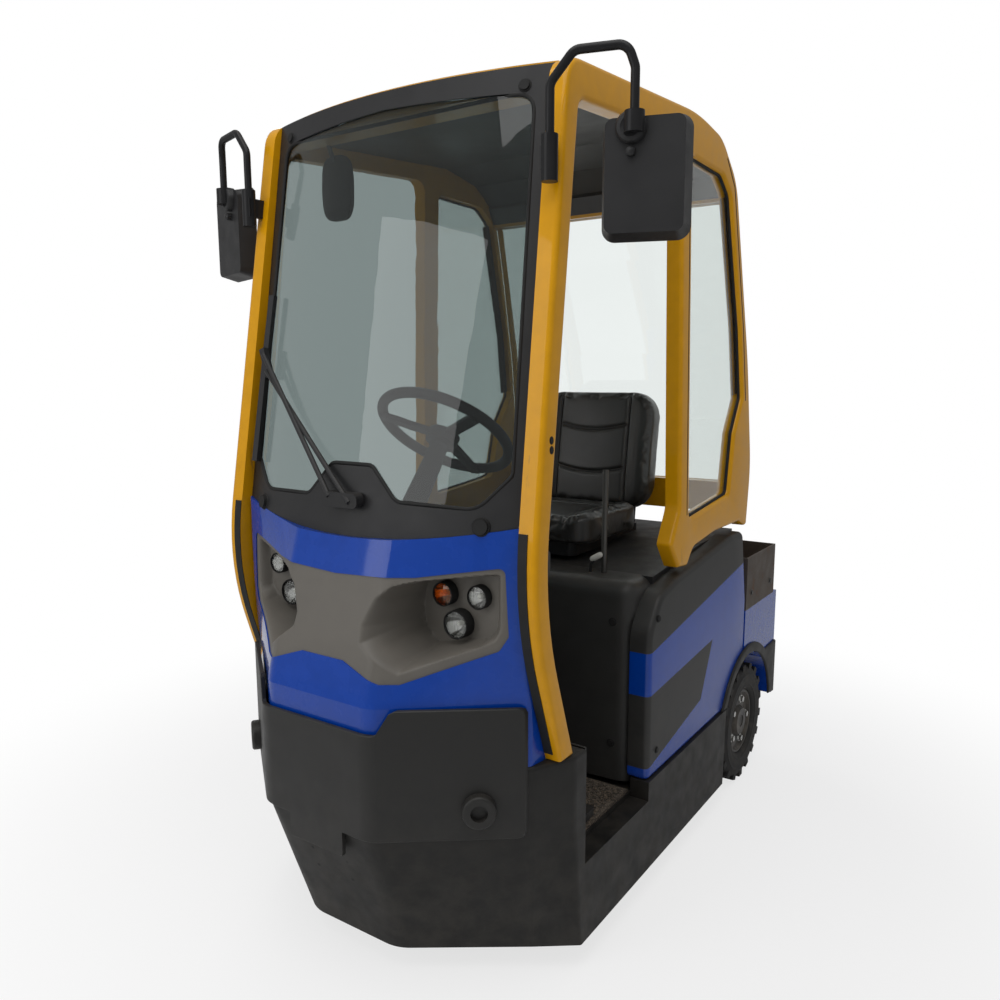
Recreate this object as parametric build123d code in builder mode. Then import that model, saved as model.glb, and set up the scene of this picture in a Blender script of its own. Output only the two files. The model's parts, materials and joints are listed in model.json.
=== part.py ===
from build123d import *
import os
from math import atan, cos, degrees, hypot, pi, radians, sin, tan

os.makedirs("parts", exist_ok=True)

# Overall layout: +Y is the rear, +X the left side, the ground is Z = 0
HALF_W = 495.0
NOSE_Y = -967.0
TAIL_Y = 900.0
COUPLING_Y = 967.0
CLEARANCE_Z = 70.0
FRONT_AXLE_Y = -640.0
REAR_AXLE_Y = 590.0
FIT = 0.3

# Wheels
TYRE_R = 205.0
TYRE_W = 104.0
RIM_R = 112.0
REAR_WHEEL_X = 435.0
STUB_R = 20.0
KING_R = 30.0
RUN = 0.05
LUG_COUNT = 18
LUG_H = 7.0

# Nose: half plan corners from the centre outwards
SKIRT_T = 12.0
SKIRT_REAR_Y = -590.0
SKIRT_BEND_Z = 395.0
DECK_Z = 560.0
SKIRT_LOW = [(118.0, -858.0), (402.0, -672.0), (HALF_W, -604.0)]
SKIRT_UP = [(160.0, NOSE_Y + 10.0), (445.0, -742.0), (HALF_W, -640.0)]
PLATE_T = 10.0
PLATE_LOW_Z = 400.0
PLATE_TOP_Z = 700.0
TONGUE_Z = 645.0
LIP_MID_Z = 1047.0
LIP_END_Z = 1103.0
LIP_END_X = 470.0
PANEL_T = 8.0
LIP_T = 42.0
PANEL_PLANS = [
    (700.0, [(156.0, -953.0), (438.0, -741.0), (444.0, -700.0)]),
    (820.0, [(152.0, -922.0), (436.0, -752.0), (442.0, -706.0)]),
    (930.0, [(147.0, -890.0), (433.0, -758.0), (439.0, -712.0)]),
    (1115.0, [(136.0, -842.0), (429.0, -762.0), (435.0, -716.0)]),
]
PANEL_KNEE_R = 60.0
PANEL_SIDE_R = 18.0
LAMP_BED_Y = -752.0
LAMP_BACK_Y = -722.0

# Cab frame: the side frames lie in planes leaning inwards
FRAME_FOOT_Z = 570.0
FRAME_FOOT_X = 490.0
FRAME_TOP_Z = 2043.0
FRAME_TOP_X = 457.0
FRAME_T = 45.0
FRAME_EDGE_R = 9.0
LEAN = atan((FRAME_FOOT_X - FRAME_TOP_X) / (FRAME_TOP_Z - FRAME_FOOT_Z))
GLASS_T = 6.0

# Windscreen: plan arcs at two heights
SCREEN_LOW_Z = 1030.0
SCREEN_HIGH_Z = 2060.0
SCREEN_LOW = (470.0, -742.0, -850.0)
SCREEN_HIGH = (440.0, -604.0, -674.0)
SCREEN_TOP_Z = 2046.0

# Floor, sills, battery space and seat
SILL_W = 55.0
STEP_Z = 272.0
SILL_Z = 325.0
SILL_REAR_Y = 372.0
FLOOR_Z = 285.0
FLOOR_T = 15.0
MAT_T = 8.0
HOUSING_X = 240.0
HOUSING_Y = -405.0
SHEET = 6.0
CONSOLE_Y = -240.0
COVER_T = 60.0
COVER_FRONT_Y = -235.0
DECK_TOP_Z = 860.0
BATTERY_Y = (-150.0, 355.0)
TRAY_Z = 92.0
TRAY_T = 16.0

# Rear body and load bin
BODY_HALF_W = 490.0
BODY_FRONT_Y = 545.0
BODY_TOP_Z = 618.0
ARCH_R = 250.0
ARCH_X = 368.0
NECK_X = 356.0
NECK_Y = 371.0
BIN_T = 6.0
BIN_TOP_Z = 800.0
BIN_FRONT_Y = 548.0
BIN_REAR_Y = 862.0

# Steering and mirrors
HAND_WHEEL_R = 175.0
HAND_WHEEL_AT = (0.0, -470.0, 1262.0)
COLUMN_FOOT = (0.0, -668.0, 1000.0)
MIRROR_TOE = 18.0
MIRROR_AT = (612.0, -588.0, 1795.0)

# Coupling
PIN_R = 12.5
JAW_T = 18.0
JAW_Z = (300.0, 390.0)


def save(piece, name):
    """Label a finished piece and write its file."""
    piece.part.label = name
    export_step(piece.part, f"parts/{name}.step")


def nose_plan(z, knees, rear_y, inset=0.0, knee_r=0.0, side_r=0.0):
    """Closed plan outline of the nose at height z, the same on both sides."""
    right = knees + [(knees[-1][0], rear_y)]
    left = [(-x, y) for x, y in reversed(right)]
    with BuildSketch(Plane.XY.offset(z)) as plan:
        with BuildLine():
            Polyline(*left, *right, close=True)
        make_face()
        if inset > 0:
            offset(amount=-inset, kind=Kind.INTERSECTION)
        if side_r > 0:
            fillet(plan.vertices().sort_by(Axis.Y)[2:4], radius=side_r)
        if knee_r > 0:
            fillet(plan.vertices().sort_by(Axis.Y)[0:2], radius=knee_r)
    return plan.sketch


def moved_line(points, distance):
    """Open line of points moved to its right by a distance, with mitred corners."""
    normals = []
    for (x0, y0), (x1, y1) in zip(points, points[1:]):
        run = hypot(x1 - x0, y1 - y0)
        normals.append(((y1 - y0) / run, -(x1 - x0) / run))
    moved = []
    for index, (x, y) in enumerate(points):
        before = normals[max(index - 1, 0)]
        after = normals[min(index, len(normals) - 1)]
        share = 1 + before[0] * after[0] + before[1] * after[1]
        moved.append(
            (
                x + distance * (before[0] + after[0]) / share,
                y + distance * (before[1] + after[1]) / share,
            )
        )
    return moved


def frame_plane(side=1):
    """Outer face of a cab side frame: local x runs to the rear, local y up."""
    return Plane(
        origin=(side * FRAME_FOOT_X, 0, FRAME_FOOT_Z),
        x_dir=(0, side, 0),
        z_dir=(side * cos(LEAN), 0, sin(LEAN)),
    )


def frame_points(points):
    """Side-view points (y, z) as points on the leaning frame plane."""
    return [(y, (z - FRAME_FOOT_Z) / cos(LEAN)) for y, z in points]


def inner_x(z):
    """Inner face of the left side frame at height z."""
    return FRAME_FOOT_X - FRAME_T / cos(LEAN) - (z - FRAME_FOOT_Z) * tan(LEAN)


def cab_space():
    """The room between the two side frames, for trimming pieces that span it."""
    with BuildPart(mode=Mode.PRIVATE) as space:
        with BuildSketch(Plane.XZ.offset(-1500)):
            with BuildLine():
                Polyline(
                    (-inner_x(0), 0),
                    (inner_x(0), 0),
                    (inner_x(2300), 2300),
                    (-inner_x(2300), 2300),
                    close=True,
                )
            make_face()
        extrude(amount=3000)
    return space.part


def screen_plan(z, curve, front, back):
    """Crescent between two parallel plan arcs of the windscreen at height z."""
    x_end, y_end, y_mid = curve
    with BuildSketch(Plane.XY.offset(z)) as plan:
        with BuildLine():
            outer = ThreePointArc((-x_end, y_end + front), (0, y_mid + front), (x_end, y_end + front))
            inner = ThreePointArc((-x_end, y_end + back), (0, y_mid + back), (x_end, y_end + back))
            Line(outer @ 0, inner @ 0)
            Line(outer @ 1, inner @ 1)
        make_face()
    return plan.sketch


CAB_SPACE = cab_space()

# Nose skirt: bent steel shell around the steered wheel, with a closed deck
SKIRT_SLOPE = atan((SKIRT_LOW[0][1] - SKIRT_UP[0][1]) / (SKIRT_BEND_Z - CLEARANCE_Z))
HOLE_Z = 274.0
HOLE_R = 4.5
HOLE_DX = 112.0
HOLE_DZ = 53.0
HOLE_Y = SKIRT_LOW[0][1] - (HOLE_Z - CLEARANCE_Z) * tan(SKIRT_SLOPE)
INNER_REAR_Y = SKIRT_REAR_Y + SKIRT_T + 5.0
with BuildPart() as front_skirt:
    loft(
        sections=[
            nose_plan(CLEARANCE_Z, SKIRT_LOW, SKIRT_REAR_Y),
            nose_plan(SKIRT_BEND_Z, SKIRT_UP, SKIRT_REAR_Y),
        ],
        ruled=True,
    )
    extrude(nose_plan(SKIRT_BEND_Z, SKIRT_UP, SKIRT_REAR_Y), amount=DECK_Z - SKIRT_BEND_Z)
    loft(
        sections=[
            nose_plan(CLEARANCE_Z, SKIRT_LOW, INNER_REAR_Y, SKIRT_T),
            nose_plan(SKIRT_BEND_Z, SKIRT_UP, INNER_REAR_Y, SKIRT_T),
        ],
        ruled=True,
        mode=Mode.SUBTRACT,
    )
    extrude(
        nose_plan(SKIRT_BEND_Z, SKIRT_UP, INNER_REAR_Y, SKIRT_T),
        amount=DECK_Z - SKIRT_BEND_Z - SKIRT_T,
        mode=Mode.SUBTRACT,
    )
    with BuildSketch(Plane.XZ.offset(-HOLE_Y - 60)):
        with Locations((0, HOLE_Z)):
            with GridLocations(HOLE_DX, HOLE_DZ, 2, 2):
                Circle(HOLE_R)
    extrude(amount=120, mode=Mode.SUBTRACT)
    with BuildSketch(Plane.XY.offset(DECK_Z - 2 * SKIRT_T)):
        with Locations((0, FRONT_AXLE_Y)):
            Circle(KING_R + RUN)
    extrude(amount=4 * SKIRT_T, mode=Mode.SUBTRACT)
save(front_skirt, "front_skirt")

# Front plate: thick bent sheet bolted over the skirt, with a tab for the plate holder
PLATE_LINE = [(-x, y) for x, y in reversed(SKIRT_UP[:2])] + SKIRT_UP[:2]
TAB_HALF_W = 84.0
TAB_Z = 342.0
with BuildPart() as front_plate:
    with BuildSketch(Plane.XY.offset(TAB_Z)):
        with BuildLine():
            Polyline(*PLATE_LINE, *reversed(moved_line(PLATE_LINE, PLATE_T)), close=True)
        make_face()
    extrude(amount=PLATE_TOP_Z - TAB_Z)
    with BuildSketch(Plane.XZ) as plate_face:
        with BuildLine():
            half = [
                (0, TAB_Z),
                (TAB_HALF_W, TAB_Z),
                (TAB_HALF_W, PLATE_LOW_Z),
                (450, PLATE_LOW_Z),
                (450, PLATE_TOP_Z),
                (206, PLATE_TOP_Z),
                (176, TONGUE_Z),
                (0, TONGUE_Z),
            ]
            Polyline(*half)
            mirror(about=Plane.YZ)
        make_face()
        fillet(plate_face.vertices().group_by(Axis.X)[0] + plate_face.vertices().group_by(Axis.X)[-1], radius=12)
    extrude(amount=1200, mode=Mode.INTERSECT)
save(front_plate, "front_plate")

# Round tow bushes on the angled facets of the front plate
BUSH_X = 350.0
BUSH_Z = 472.0
BUSH_R = 38.0
BUSH_H = 22.0
FACET_RUN = (SKIRT_UP[1][0] - SKIRT_UP[0][0], SKIRT_UP[1][1] - SKIRT_UP[0][1])
FACET_LEN = hypot(*FACET_RUN)
FACET_NORMAL = (FACET_RUN[1] / FACET_LEN, -FACET_RUN[0] / FACET_LEN)
BUSH_Y = SKIRT_UP[0][1] + (BUSH_X - SKIRT_UP[0][0]) * FACET_RUN[1] / FACET_RUN[0]
BUSH_PLANE = Plane(
    origin=(BUSH_X + FACET_NORMAL[0] * PLATE_T, BUSH_Y + FACET_NORMAL[1] * PLATE_T, BUSH_Z),
    x_dir=(FACET_RUN[0], FACET_RUN[1], 0),
    z_dir=(FACET_NORMAL[0], FACET_NORMAL[1], 0),
)
with BuildPart() as tow_bushes:
    with BuildSketch(BUSH_PLANE):
        Circle(BUSH_R)
    extrude(amount=BUSH_H)
    fillet(tow_bushes.faces().sort_by(Axis((0, 0, 0), FACET_NORMAL + (0,)))[-1].edges(), radius=7)
    with BuildSketch(BUSH_PLANE.offset(BUSH_H)):
        Circle(BUSH_R * 0.5)
    extrude(amount=-14, mode=Mode.SUBTRACT)
    mirror(about=Plane.YZ)
save(tow_bushes, "tow_bushes")

# Blue nose panel with a rounded lip and a large opening for the lamp panel
PANEL_REAR_Y = -690.0
PANEL_LOW = PANEL_PLANS[0]


def panel_form(inset, rear_y):
    """Solid nose form above the deck, moved inwards by an inset."""
    with BuildPart(mode=Mode.PRIVATE) as form:
        side_r = PANEL_SIDE_R if inset == 0 else 0
        knee_r = PANEL_KNEE_R if inset < PANEL_KNEE_R else 0
        low = nose_plan(DECK_Z, PANEL_LOW[1], rear_y, inset, knee_r, side_r)
        extrude(low, amount=PANEL_LOW[0] - DECK_Z)
        loft(sections=[nose_plan(z, knees, rear_y, inset, knee_r, side_r) for z, knees in PANEL_PLANS])
    return form.part


def under_lip(raise_z):
    """Everything below the arched line of the nose lip."""
    with BuildPart(mode=Mode.PRIVATE) as room:
        with BuildSketch(Plane.XZ):
            with BuildLine():
                ThreePointArc(
                    (-LIP_END_X, LIP_END_Z + raise_z),
                    (0, LIP_MID_Z + raise_z),
                    (LIP_END_X, LIP_END_Z + raise_z),
                )
                Polyline(
                    (LIP_END_X, LIP_END_Z + raise_z),
                    (LIP_END_X, 0),
                    (-LIP_END_X, 0),
                    (-LIP_END_X, LIP_END_Z + raise_z),
                )
            make_face()
        extrude(amount=1200)
    return room.part


def lamp_outline(inset):
    """Front-view outline of the lamp panel, drawn in by an inset."""
    with BuildSketch(Plane.XZ) as outline:
        with BuildLine():
            half = [
                (0, 966),
                (210, 976),
                (394, 1006),
                (402, 856),
                (384, 824),
                (206, 750),
                (168, 750),
                (64, 786),
                (0, 786),
            ]
            Polyline(*half)
            mirror(about=Plane.YZ)
        make_face()
        fillet(outline.vertices().filter_by(lambda v: abs(v.X) > 100), radius=14)
        if inset > 0:
            offset(amount=-inset, kind=Kind.INTERSECTION)
    return outline.sketch


with BuildPart() as front_panel:
    add(panel_form(0, PANEL_REAR_Y))
    add(under_lip(0), mode=Mode.INTERSECT)
    add(CAB_SPACE, mode=Mode.INTERSECT)
    with BuildPart(mode=Mode.PRIVATE) as panel_room:
        add(panel_form(PANEL_T, PANEL_REAR_Y + 40))
        with BuildSketch(Plane.XY.offset(1005)):
            Rectangle(1200, 2400)
        extrude(amount=300, mode=Mode.SUBTRACT)
    add(panel_room.part, mode=Mode.SUBTRACT)
    add(panel_form(LIP_T, PANEL_REAR_Y + 80), mode=Mode.SUBTRACT)
    extrude(lamp_outline(0), amount=1200, mode=Mode.SUBTRACT)
save(front_panel, "front_panel")

# Lamp panel: grey insert with a deep pocket for three lamps on each side
POCKET = [(206, 958), (150, 838), (204, 772), (372, 838), (386, 866), (380, 984)]
with BuildPart() as lamp_panel:
    add(panel_form(2.5, PANEL_REAR_Y + 40))
    add(panel_form(95, PANEL_REAR_Y + 135), mode=Mode.SUBTRACT)
    extrude(lamp_outline(1.0), amount=1200, mode=Mode.INTERSECT)
    with BuildSketch(Plane.XZ.offset(-LAMP_BACK_Y)):
        Rectangle(1200, 4000)
    extrude(amount=-400, mode=Mode.SUBTRACT)
    with BuildSketch(Plane.XZ.offset(-LAMP_BED_Y)) as pocket:
        with BuildLine():
            Polyline(*POCKET, close=True)
        make_face()
        fillet(pocket.vertices(), radius=20)
        mirror(about=Plane.YZ)
    extrude(amount=400, mode=Mode.SUBTRACT)
save(lamp_panel, "lamp_panel")

# Lamps: x, z, radius, depth of the round bodies with domed lenses
CLEAR_LAMPS = [
    {"x": 264.0, "z": 862.0, "r": 33.0, "depth": 30.0},
    {"x": 318.0, "z": 930.0, "r": 27.0, "depth": 22.0},
]
AMBER_LAMPS = [{"x": 226.0, "z": 926.0, "r": 28.0, "depth": 26.0}]


def lamp_node(table):
    """All lamps of one colour, standing on the pocket floor."""
    with BuildPart(mode=Mode.PRIVATE) as lamps:
        for lamp in table:
            for side in (1, -1):
                at = Plane(
                    origin=(side * lamp["x"], LAMP_BED_Y, lamp["z"]),
                    x_dir=(1, 0, 0),
                    z_dir=(0, -1, 0),
                )
                with BuildSketch(at):
                    Circle(lamp["r"])
                extrude(amount=lamp["depth"])
        fronts = lamps.edges().filter_by(GeomType.CIRCLE).filter_by(lambda e: e.center().Y < LAMP_BED_Y - 5)
        fillet(fronts, radius=6)
    return lamps


clear_lamps = lamp_node(CLEAR_LAMPS)
save(clear_lamps, "clear_lamps")
indicator_lamps = lamp_node(AMBER_LAMPS)
save(indicator_lamps, "indicator_lamps")

# Windscreen: curved glass in a black surround that runs down as the cowl
SURROUND_T = 14.0
GLASS_HALF = [
    (0, 1205),
    (62, 1205),
    (136, 1128),
    (330, 1122),
    (398, 1196),
    (378, 1990),
    (0, 2004),
]


def glass_outline(inset):
    """Front-view outline of the clear glass with its raised middle foot."""
    with BuildSketch(Plane.XZ) as outline:
        with BuildLine():
            Polyline(*GLASS_HALF)
            mirror(about=Plane.YZ)
        make_face()
        fillet([v for v in outline.vertices() if abs(v.Y - 1990) < 2], radius=45)
        fillet([v for v in outline.vertices() if abs(v.Y - 1128) < 2 and abs(v.X) < 200], radius=40)
        fillet([v for v in outline.vertices() if abs(v.Y - 1122) < 2 and abs(v.X) > 300], radius=60)
        fillet([v for v in outline.vertices() if abs(v.Y - 1205) < 1 and abs(v.X) > 40], radius=30)
        if inset > 0:
            offset(amount=-inset)
    return outline.sketch


def screen_form(front, back):
    """Curved upright slab between two offsets from the screen surface."""
    with BuildPart(mode=Mode.PRIVATE) as form:
        loft(
            sections=[
                screen_plan(SCREEN_LOW_Z, SCREEN_LOW, front, back),
                screen_plan(SCREEN_HIGH_Z, SCREEN_HIGH, front, back),
            ]
        )
        with BuildSketch(Plane.XY.offset(SCREEN_TOP_Z)):
            Rectangle(1200, 2400)
        extrude(amount=100, mode=Mode.SUBTRACT)
        add(CAB_SPACE, mode=Mode.INTERSECT)
    return form.part


with BuildPart() as windscreen_surround:
    add(screen_form(0, SURROUND_T))
    add(under_lip(FIT), mode=Mode.SUBTRACT)
    extrude(glass_outline(0), amount=1200, mode=Mode.SUBTRACT)
save(windscreen_surround, "windscreen_surround")

with BuildPart() as windscreen:
    add(screen_form(4.0, 4.0 + GLASS_T))
    extrude(glass_outline(FIT), amount=1200, mode=Mode.INTERSECT)
save(windscreen, "windscreen")

# Cab side frames: front pillar, roof rail, middle pillar, rear pillar and its foot
FRAME_OUTLINE = [
    (-690, 562),
    (-748, 753),
    (-782, 945),
    (-772, 1115),
    (-634, 2004),
    (-585, 2060),
    (75, 2116),
    (250, 2088),
    (345, 2028),
    (405, 1958),
    (452, 1798),
    (521, 1494),
    (567, 1233),
    (576, 1036),
    (540, 912),
    (470, 938),
    (250, 938),
    (70, 918),
    (25, 872),
    (-40, 880),
    (-92, 950),
    (-35, 1040),
    (-35, 1972),
    (-560, 1938),
    (-600, 1900),
    (-654, 1562),
    (-717, 1151),
    (-729, 939),
    (-697, 753),
    (-636, 562),
]
FRAME_ROUND = 16.0
QUARTER_OUTLINE = [
    (34, 1004),
    (362, 1040),
    (407, 1229),
    (478, 1336),
    (440, 1560),
    (345, 1930),
    (34, 1936),
]
QUARTER_ROUND = 26.0


def quarter_face(plane, gap):
    """Outline of the rear quarter opening, drawn in by a gap."""
    with BuildSketch(plane) as face:
        with BuildLine():
            FilletPolyline(*frame_points(QUARTER_OUTLINE), radius=QUARTER_ROUND, close=True)
        make_face()
        if gap > 0:
            offset(amount=-gap)
    return face.sketch


with BuildPart() as side_frames:
    with BuildSketch(frame_plane()):
        with BuildLine():
            FilletPolyline(*frame_points(FRAME_OUTLINE), radius=FRAME_ROUND, close=True)
        make_face()
    extrude(amount=-FRAME_T)
    outer_face = side_frames.faces().sort_by(Axis.X)[-1]
    chamfer(outer_face.edges(), length=FRAME_EDGE_R)
    extrude(quarter_face(frame_plane(), 0), amount=-FRAME_T, mode=Mode.SUBTRACT)
    mirror(about=Plane.YZ)
save(side_frames, "side_frames")

with BuildPart() as quarter_windows:
    extrude(quarter_face(frame_plane().offset(-18), FIT), amount=-GLASS_T)
    mirror(about=Plane.YZ)
save(quarter_windows, "quarter_windows")

# Roof: front and rear cross members, lower rear member, roof panel and rear glass
ROOF_LINE = [(-562, 2036), (75, 2090), (238, 2064), (324, 2010)]
ROOF_T = 12.0
REAR_LINE = [(371, 1938), (412, 1790), (481, 1486), (525, 1236), (532, 1052)]


def profile_ribbon(points, thickness):
    """Side-view strip along a line of (y, z) points."""
    with BuildSketch(Plane.YZ.offset(-600)) as strip:
        with BuildLine():
            Polyline(*points, *reversed(moved_line(points, thickness)), close=True)
        make_face()
    return strip.sketch


with BuildPart() as cross_members:
    with BuildSketch(Plane.XY.offset(1996)):
        with BuildLine():
            front_arc = ThreePointArc((-440, -591.5), (0, -662), (440, -591.5))
            Polyline(front_arc @ 1, (440, -556), (-440, -556), front_arc @ 0)
        make_face()
    extrude(amount=58)
    with BuildSketch(Plane.YZ.offset(-600)):
        with BuildLine():
            Polyline((318, 2060), (318, 1990), (352, 1932), (398, 1932), (392, 1962), (340, 2022), close=True)
        make_face()
        with BuildLine():
            Polyline((500, 1060), (500, 960), (548, 960), (562, 1060), close=True)
        make_face()
    extrude(amount=1200)
    add(CAB_SPACE, mode=Mode.INTERSECT)
save(cross_members, "cross_members")

with BuildPart() as roof_panel:
    extrude(profile_ribbon(ROOF_LINE, ROOF_T), amount=1200)
    add(CAB_SPACE, mode=Mode.INTERSECT)
    add(cross_members.part, mode=Mode.SUBTRACT)
save(roof_panel, "roof_panel")

with BuildPart() as rear_window:
    extrude(profile_ribbon(REAR_LINE, GLASS_T), amount=1200)
    add(CAB_SPACE, mode=Mode.INTERSECT)
    add(cross_members.part, mode=Mode.SUBTRACT)
save(rear_window, "rear_window")

# Mirrors: bent tube arms clamped to the front pillars, heads and glasses
ARM_R = 9.0
ARM_PATH = [
    (452, -700, 1790),
    (452, -700, 1975),
    (500, -690, 2030),
    (600, -660, 2030),
    (612, -650, 1990),
    (612, -650, 1885),
]
HEAD_W = 180.0
HEAD_H = 240.0
HEAD_T = 46.0
HEAD_PLANE = Plane(
    origin=MIRROR_AT,
    x_dir=(cos(radians(MIRROR_TOE)), sin(radians(MIRROR_TOE)), 0),
    z_dir=(sin(radians(MIRROR_TOE)), -cos(radians(MIRROR_TOE)), 0),
)
with BuildPart() as mirror_heads:
    with BuildSketch(HEAD_PLANE):
        RectangleRounded(HEAD_W, HEAD_H, 28)
    extrude(amount=HEAD_T, taper=14)
    with BuildSketch(HEAD_PLANE):
        RectangleRounded(HEAD_W - 12, HEAD_H - 12, 22)
    extrude(amount=5, mode=Mode.SUBTRACT)
    mirror(about=Plane.YZ)
save(mirror_heads, "mirror_heads")

with BuildPart() as mirror_glasses:
    with BuildSketch(HEAD_PLANE.offset(5)):
        RectangleRounded(HEAD_W - 12.6, HEAD_H - 12.6, 21.7)
    extrude(amount=-3.5)
    mirror(about=Plane.YZ)
save(mirror_glasses, "mirror_glasses")

with BuildPart() as mirror_arms:
    with BuildLine() as arm_line:
        FilletPolyline(*ARM_PATH, radius=28)
    with BuildSketch(Plane(origin=ARM_PATH[0], z_dir=(0, 0, 1))):
        Circle(ARM_R)
    sweep()
    with Locations((452, -700, 1790)):
        Cylinder(17, 90, align=(Align.CENTER, Align.CENTER, Align.MIN))
    with BuildSketch(Plane.XY.offset(1812)):
        with BuildLine():
            Polyline((436, -712), (448, -712), (448, -628), (436, -628), close=True)
        make_face()
    extrude(amount=46)
    with BuildSketch(Plane.XY.offset(1870)):
        with Locations((612, -650)):
            Circle(20)
    extrude(amount=40)
    mirror(about=Plane.YZ)
    add(side_frames.part, mode=Mode.SUBTRACT)
    add(mirror_heads.part, mode=Mode.SUBTRACT)
save(mirror_arms, "mirror_arms")

# Wiper: spindle block on the cowl, two parallel arms, wrist plate and blade
WIPER_ARMS = [
    ((-34, -858, 1136), (-366, -748, 1462)),
    ((30, -860, 1126), (-352, -752, 1420)),
]
BLADE = [(-392, -765, 1190), (-374, -732, 1450), (-362, -711, 1610)]
with BuildPart() as wiper:
    with BuildSketch(Plane.XZ.offset(836.2)):
        with Locations((-2, 1130)):
            RectangleRounded(110, 34, 14)
    extrude(amount=24)
    for start, end in WIPER_ARMS:
        run = Vector(*end) - Vector(*start)
        with BuildSketch(Plane(origin=start, z_dir=run)):
            Circle(6)
        extrude(amount=run.length)
    with BuildLine():
        Polyline((-372, -742, 1476), (-346, -746, 1406))
    with BuildSketch(Plane(origin=(-372, -742, 1476), z_dir=(26, -4, -70))):
        Rectangle(18, 14)
    sweep()
    with BuildLine():
        FilletPolyline(*BLADE, radius=300)
    with BuildSketch(Plane(origin=BLADE[0], z_dir=Vector(*BLADE[1]) - Vector(*BLADE[0]))):
        Rectangle(12, 18)
    sweep()
save(wiper, "wiper")

# Sills, step floor, studded mats, and the sheet housing over the steered wheel
with BuildPart() as side_sills:
    with BuildSketch(Plane.YZ.offset(HALF_W)):
        with BuildLine():
            Polyline(
                (SKIRT_REAR_Y, CLEARANCE_Z),
                (SILL_REAR_Y - 10, CLEARANCE_Z),
                (SILL_REAR_Y, SILL_Z),
                (COVER_FRONT_Y, SILL_Z),
                (COVER_FRONT_Y, STEP_Z),
                (SKIRT_REAR_Y, STEP_Z),
                close=True,
            )
        make_face()
    extrude(amount=-SILL_W)
    mirror(about=Plane.YZ)
save(side_sills, "side_sills")

SILL_IN = HALF_W - SILL_W
with BuildPart() as floor_plate:
    with BuildSketch(Plane.XY.offset(FLOOR_Z - FLOOR_T)):
        with BuildLine():
            Polyline(
                (-SILL_IN, SKIRT_REAR_Y),
                (-HOUSING_X, SKIRT_REAR_Y),
                (-HOUSING_X, HOUSING_Y),
                (HOUSING_X, HOUSING_Y),
                (HOUSING_X, SKIRT_REAR_Y),
                (SILL_IN, SKIRT_REAR_Y),
                (SILL_IN, BATTERY_Y[0]),
                (-SILL_IN, BATTERY_Y[0]),
                close=True,
            )
        make_face()
    extrude(amount=FLOOR_T)
    with BuildSketch(Plane.XY.offset(TRAY_Z)):
        with Locations((0, (BATTERY_Y[1] + HOUSING_Y) / 2)):
            Rectangle(2 * SILL_IN, BATTERY_Y[1] - HOUSING_Y)
    extrude(amount=TRAY_T)
    with BuildSketch(Plane.XY.offset(TRAY_Z)):
        with Locations((0, HOUSING_Y + 8)):
            Rectangle(2 * SILL_IN, 16)
    extrude(amount=FLOOR_Z - TRAY_Z)
    with BuildSketch(Plane.XY.offset(TRAY_Z)):
        with Locations((0, (BATTERY_Y[1] + NECK_Y) / 2)):
            Rectangle(2 * SILL_IN - 12, NECK_Y - BATTERY_Y[1])
    extrude(amount=800 - TRAY_Z)
save(floor_plate, "floor_plate")

STUD_R = 5.0
with BuildPart() as floor_mat:
    with BuildSketch(Plane.XY.offset(FLOOR_Z)):
        with BuildLine():
            Polyline(
                (-SILL_IN + 4, SKIRT_REAR_Y + 8),
                (-HOUSING_X - 8, SKIRT_REAR_Y + 8),
                (-HOUSING_X - 8, HOUSING_Y + 10),
                (HOUSING_X + 8, HOUSING_Y + 10),
                (HOUSING_X + 8, SKIRT_REAR_Y + 8),
                (SILL_IN - 4, SKIRT_REAR_Y + 8),
                (SILL_IN - 4, CONSOLE_Y - 2),
                (-SILL_IN + 4, CONSOLE_Y - 2),
                close=True,
            )
        make_face()
    extrude(amount=MAT_T)
save(floor_mat, "floor_mat")

with BuildPart() as wheel_housing:
    with BuildSketch(Plane.XY.offset(FLOOR_Z)):
        with BuildLine():
            Polyline(
                (-HALF_W + 4, SKIRT_REAR_Y),
                (-HOUSING_X, SKIRT_REAR_Y),
                (-HOUSING_X, HOUSING_Y),
                (HOUSING_X, HOUSING_Y),
                (HOUSING_X, SKIRT_REAR_Y),
                (HALF_W - 4, SKIRT_REAR_Y),
                (HALF_W - 4, SKIRT_REAR_Y + SHEET),
                (HOUSING_X + SHEET, SKIRT_REAR_Y + SHEET),
                (HOUSING_X + SHEET, HOUSING_Y + SHEET),
                (-HOUSING_X - SHEET, HOUSING_Y + SHEET),
                (-HOUSING_X - SHEET, SKIRT_REAR_Y + SHEET),
                (-HALF_W + 4, SKIRT_REAR_Y + SHEET),
                close=True,
            )
        make_face()
    extrude(amount=DECK_Z - FLOOR_Z)
    with BuildSketch(Plane.XY.offset(DECK_Z - SHEET)):
        with Locations((0, (SKIRT_REAR_Y + HOUSING_Y) / 2)):
            Rectangle(2 * HOUSING_X, HOUSING_Y - SKIRT_REAR_Y)
    extrude(amount=SHEET)
save(wheel_housing, "wheel_housing")

# Dash: inner leg shield rising from the deck to a rounded instrument shelf
DASH_HALF_W = 376.0
with BuildPart() as dash:
    with BuildSketch(Plane.YZ.offset(-DASH_HALF_W)) as dash_side:
        with BuildLine():
            Polyline(
                (-640, DECK_Z),
                (-628, DECK_Z),
                (-628, 860),
                (-560, 960),
                (-560, 1000),
                (-630, 1052),
                (-684, 1062),
                (-706, 1062),
                (-706, 1030),
                (-640, 985),
                close=True,
            )
        make_face()
    extrude(amount=2 * DASH_HALF_W)
save(dash, "dash")

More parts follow.
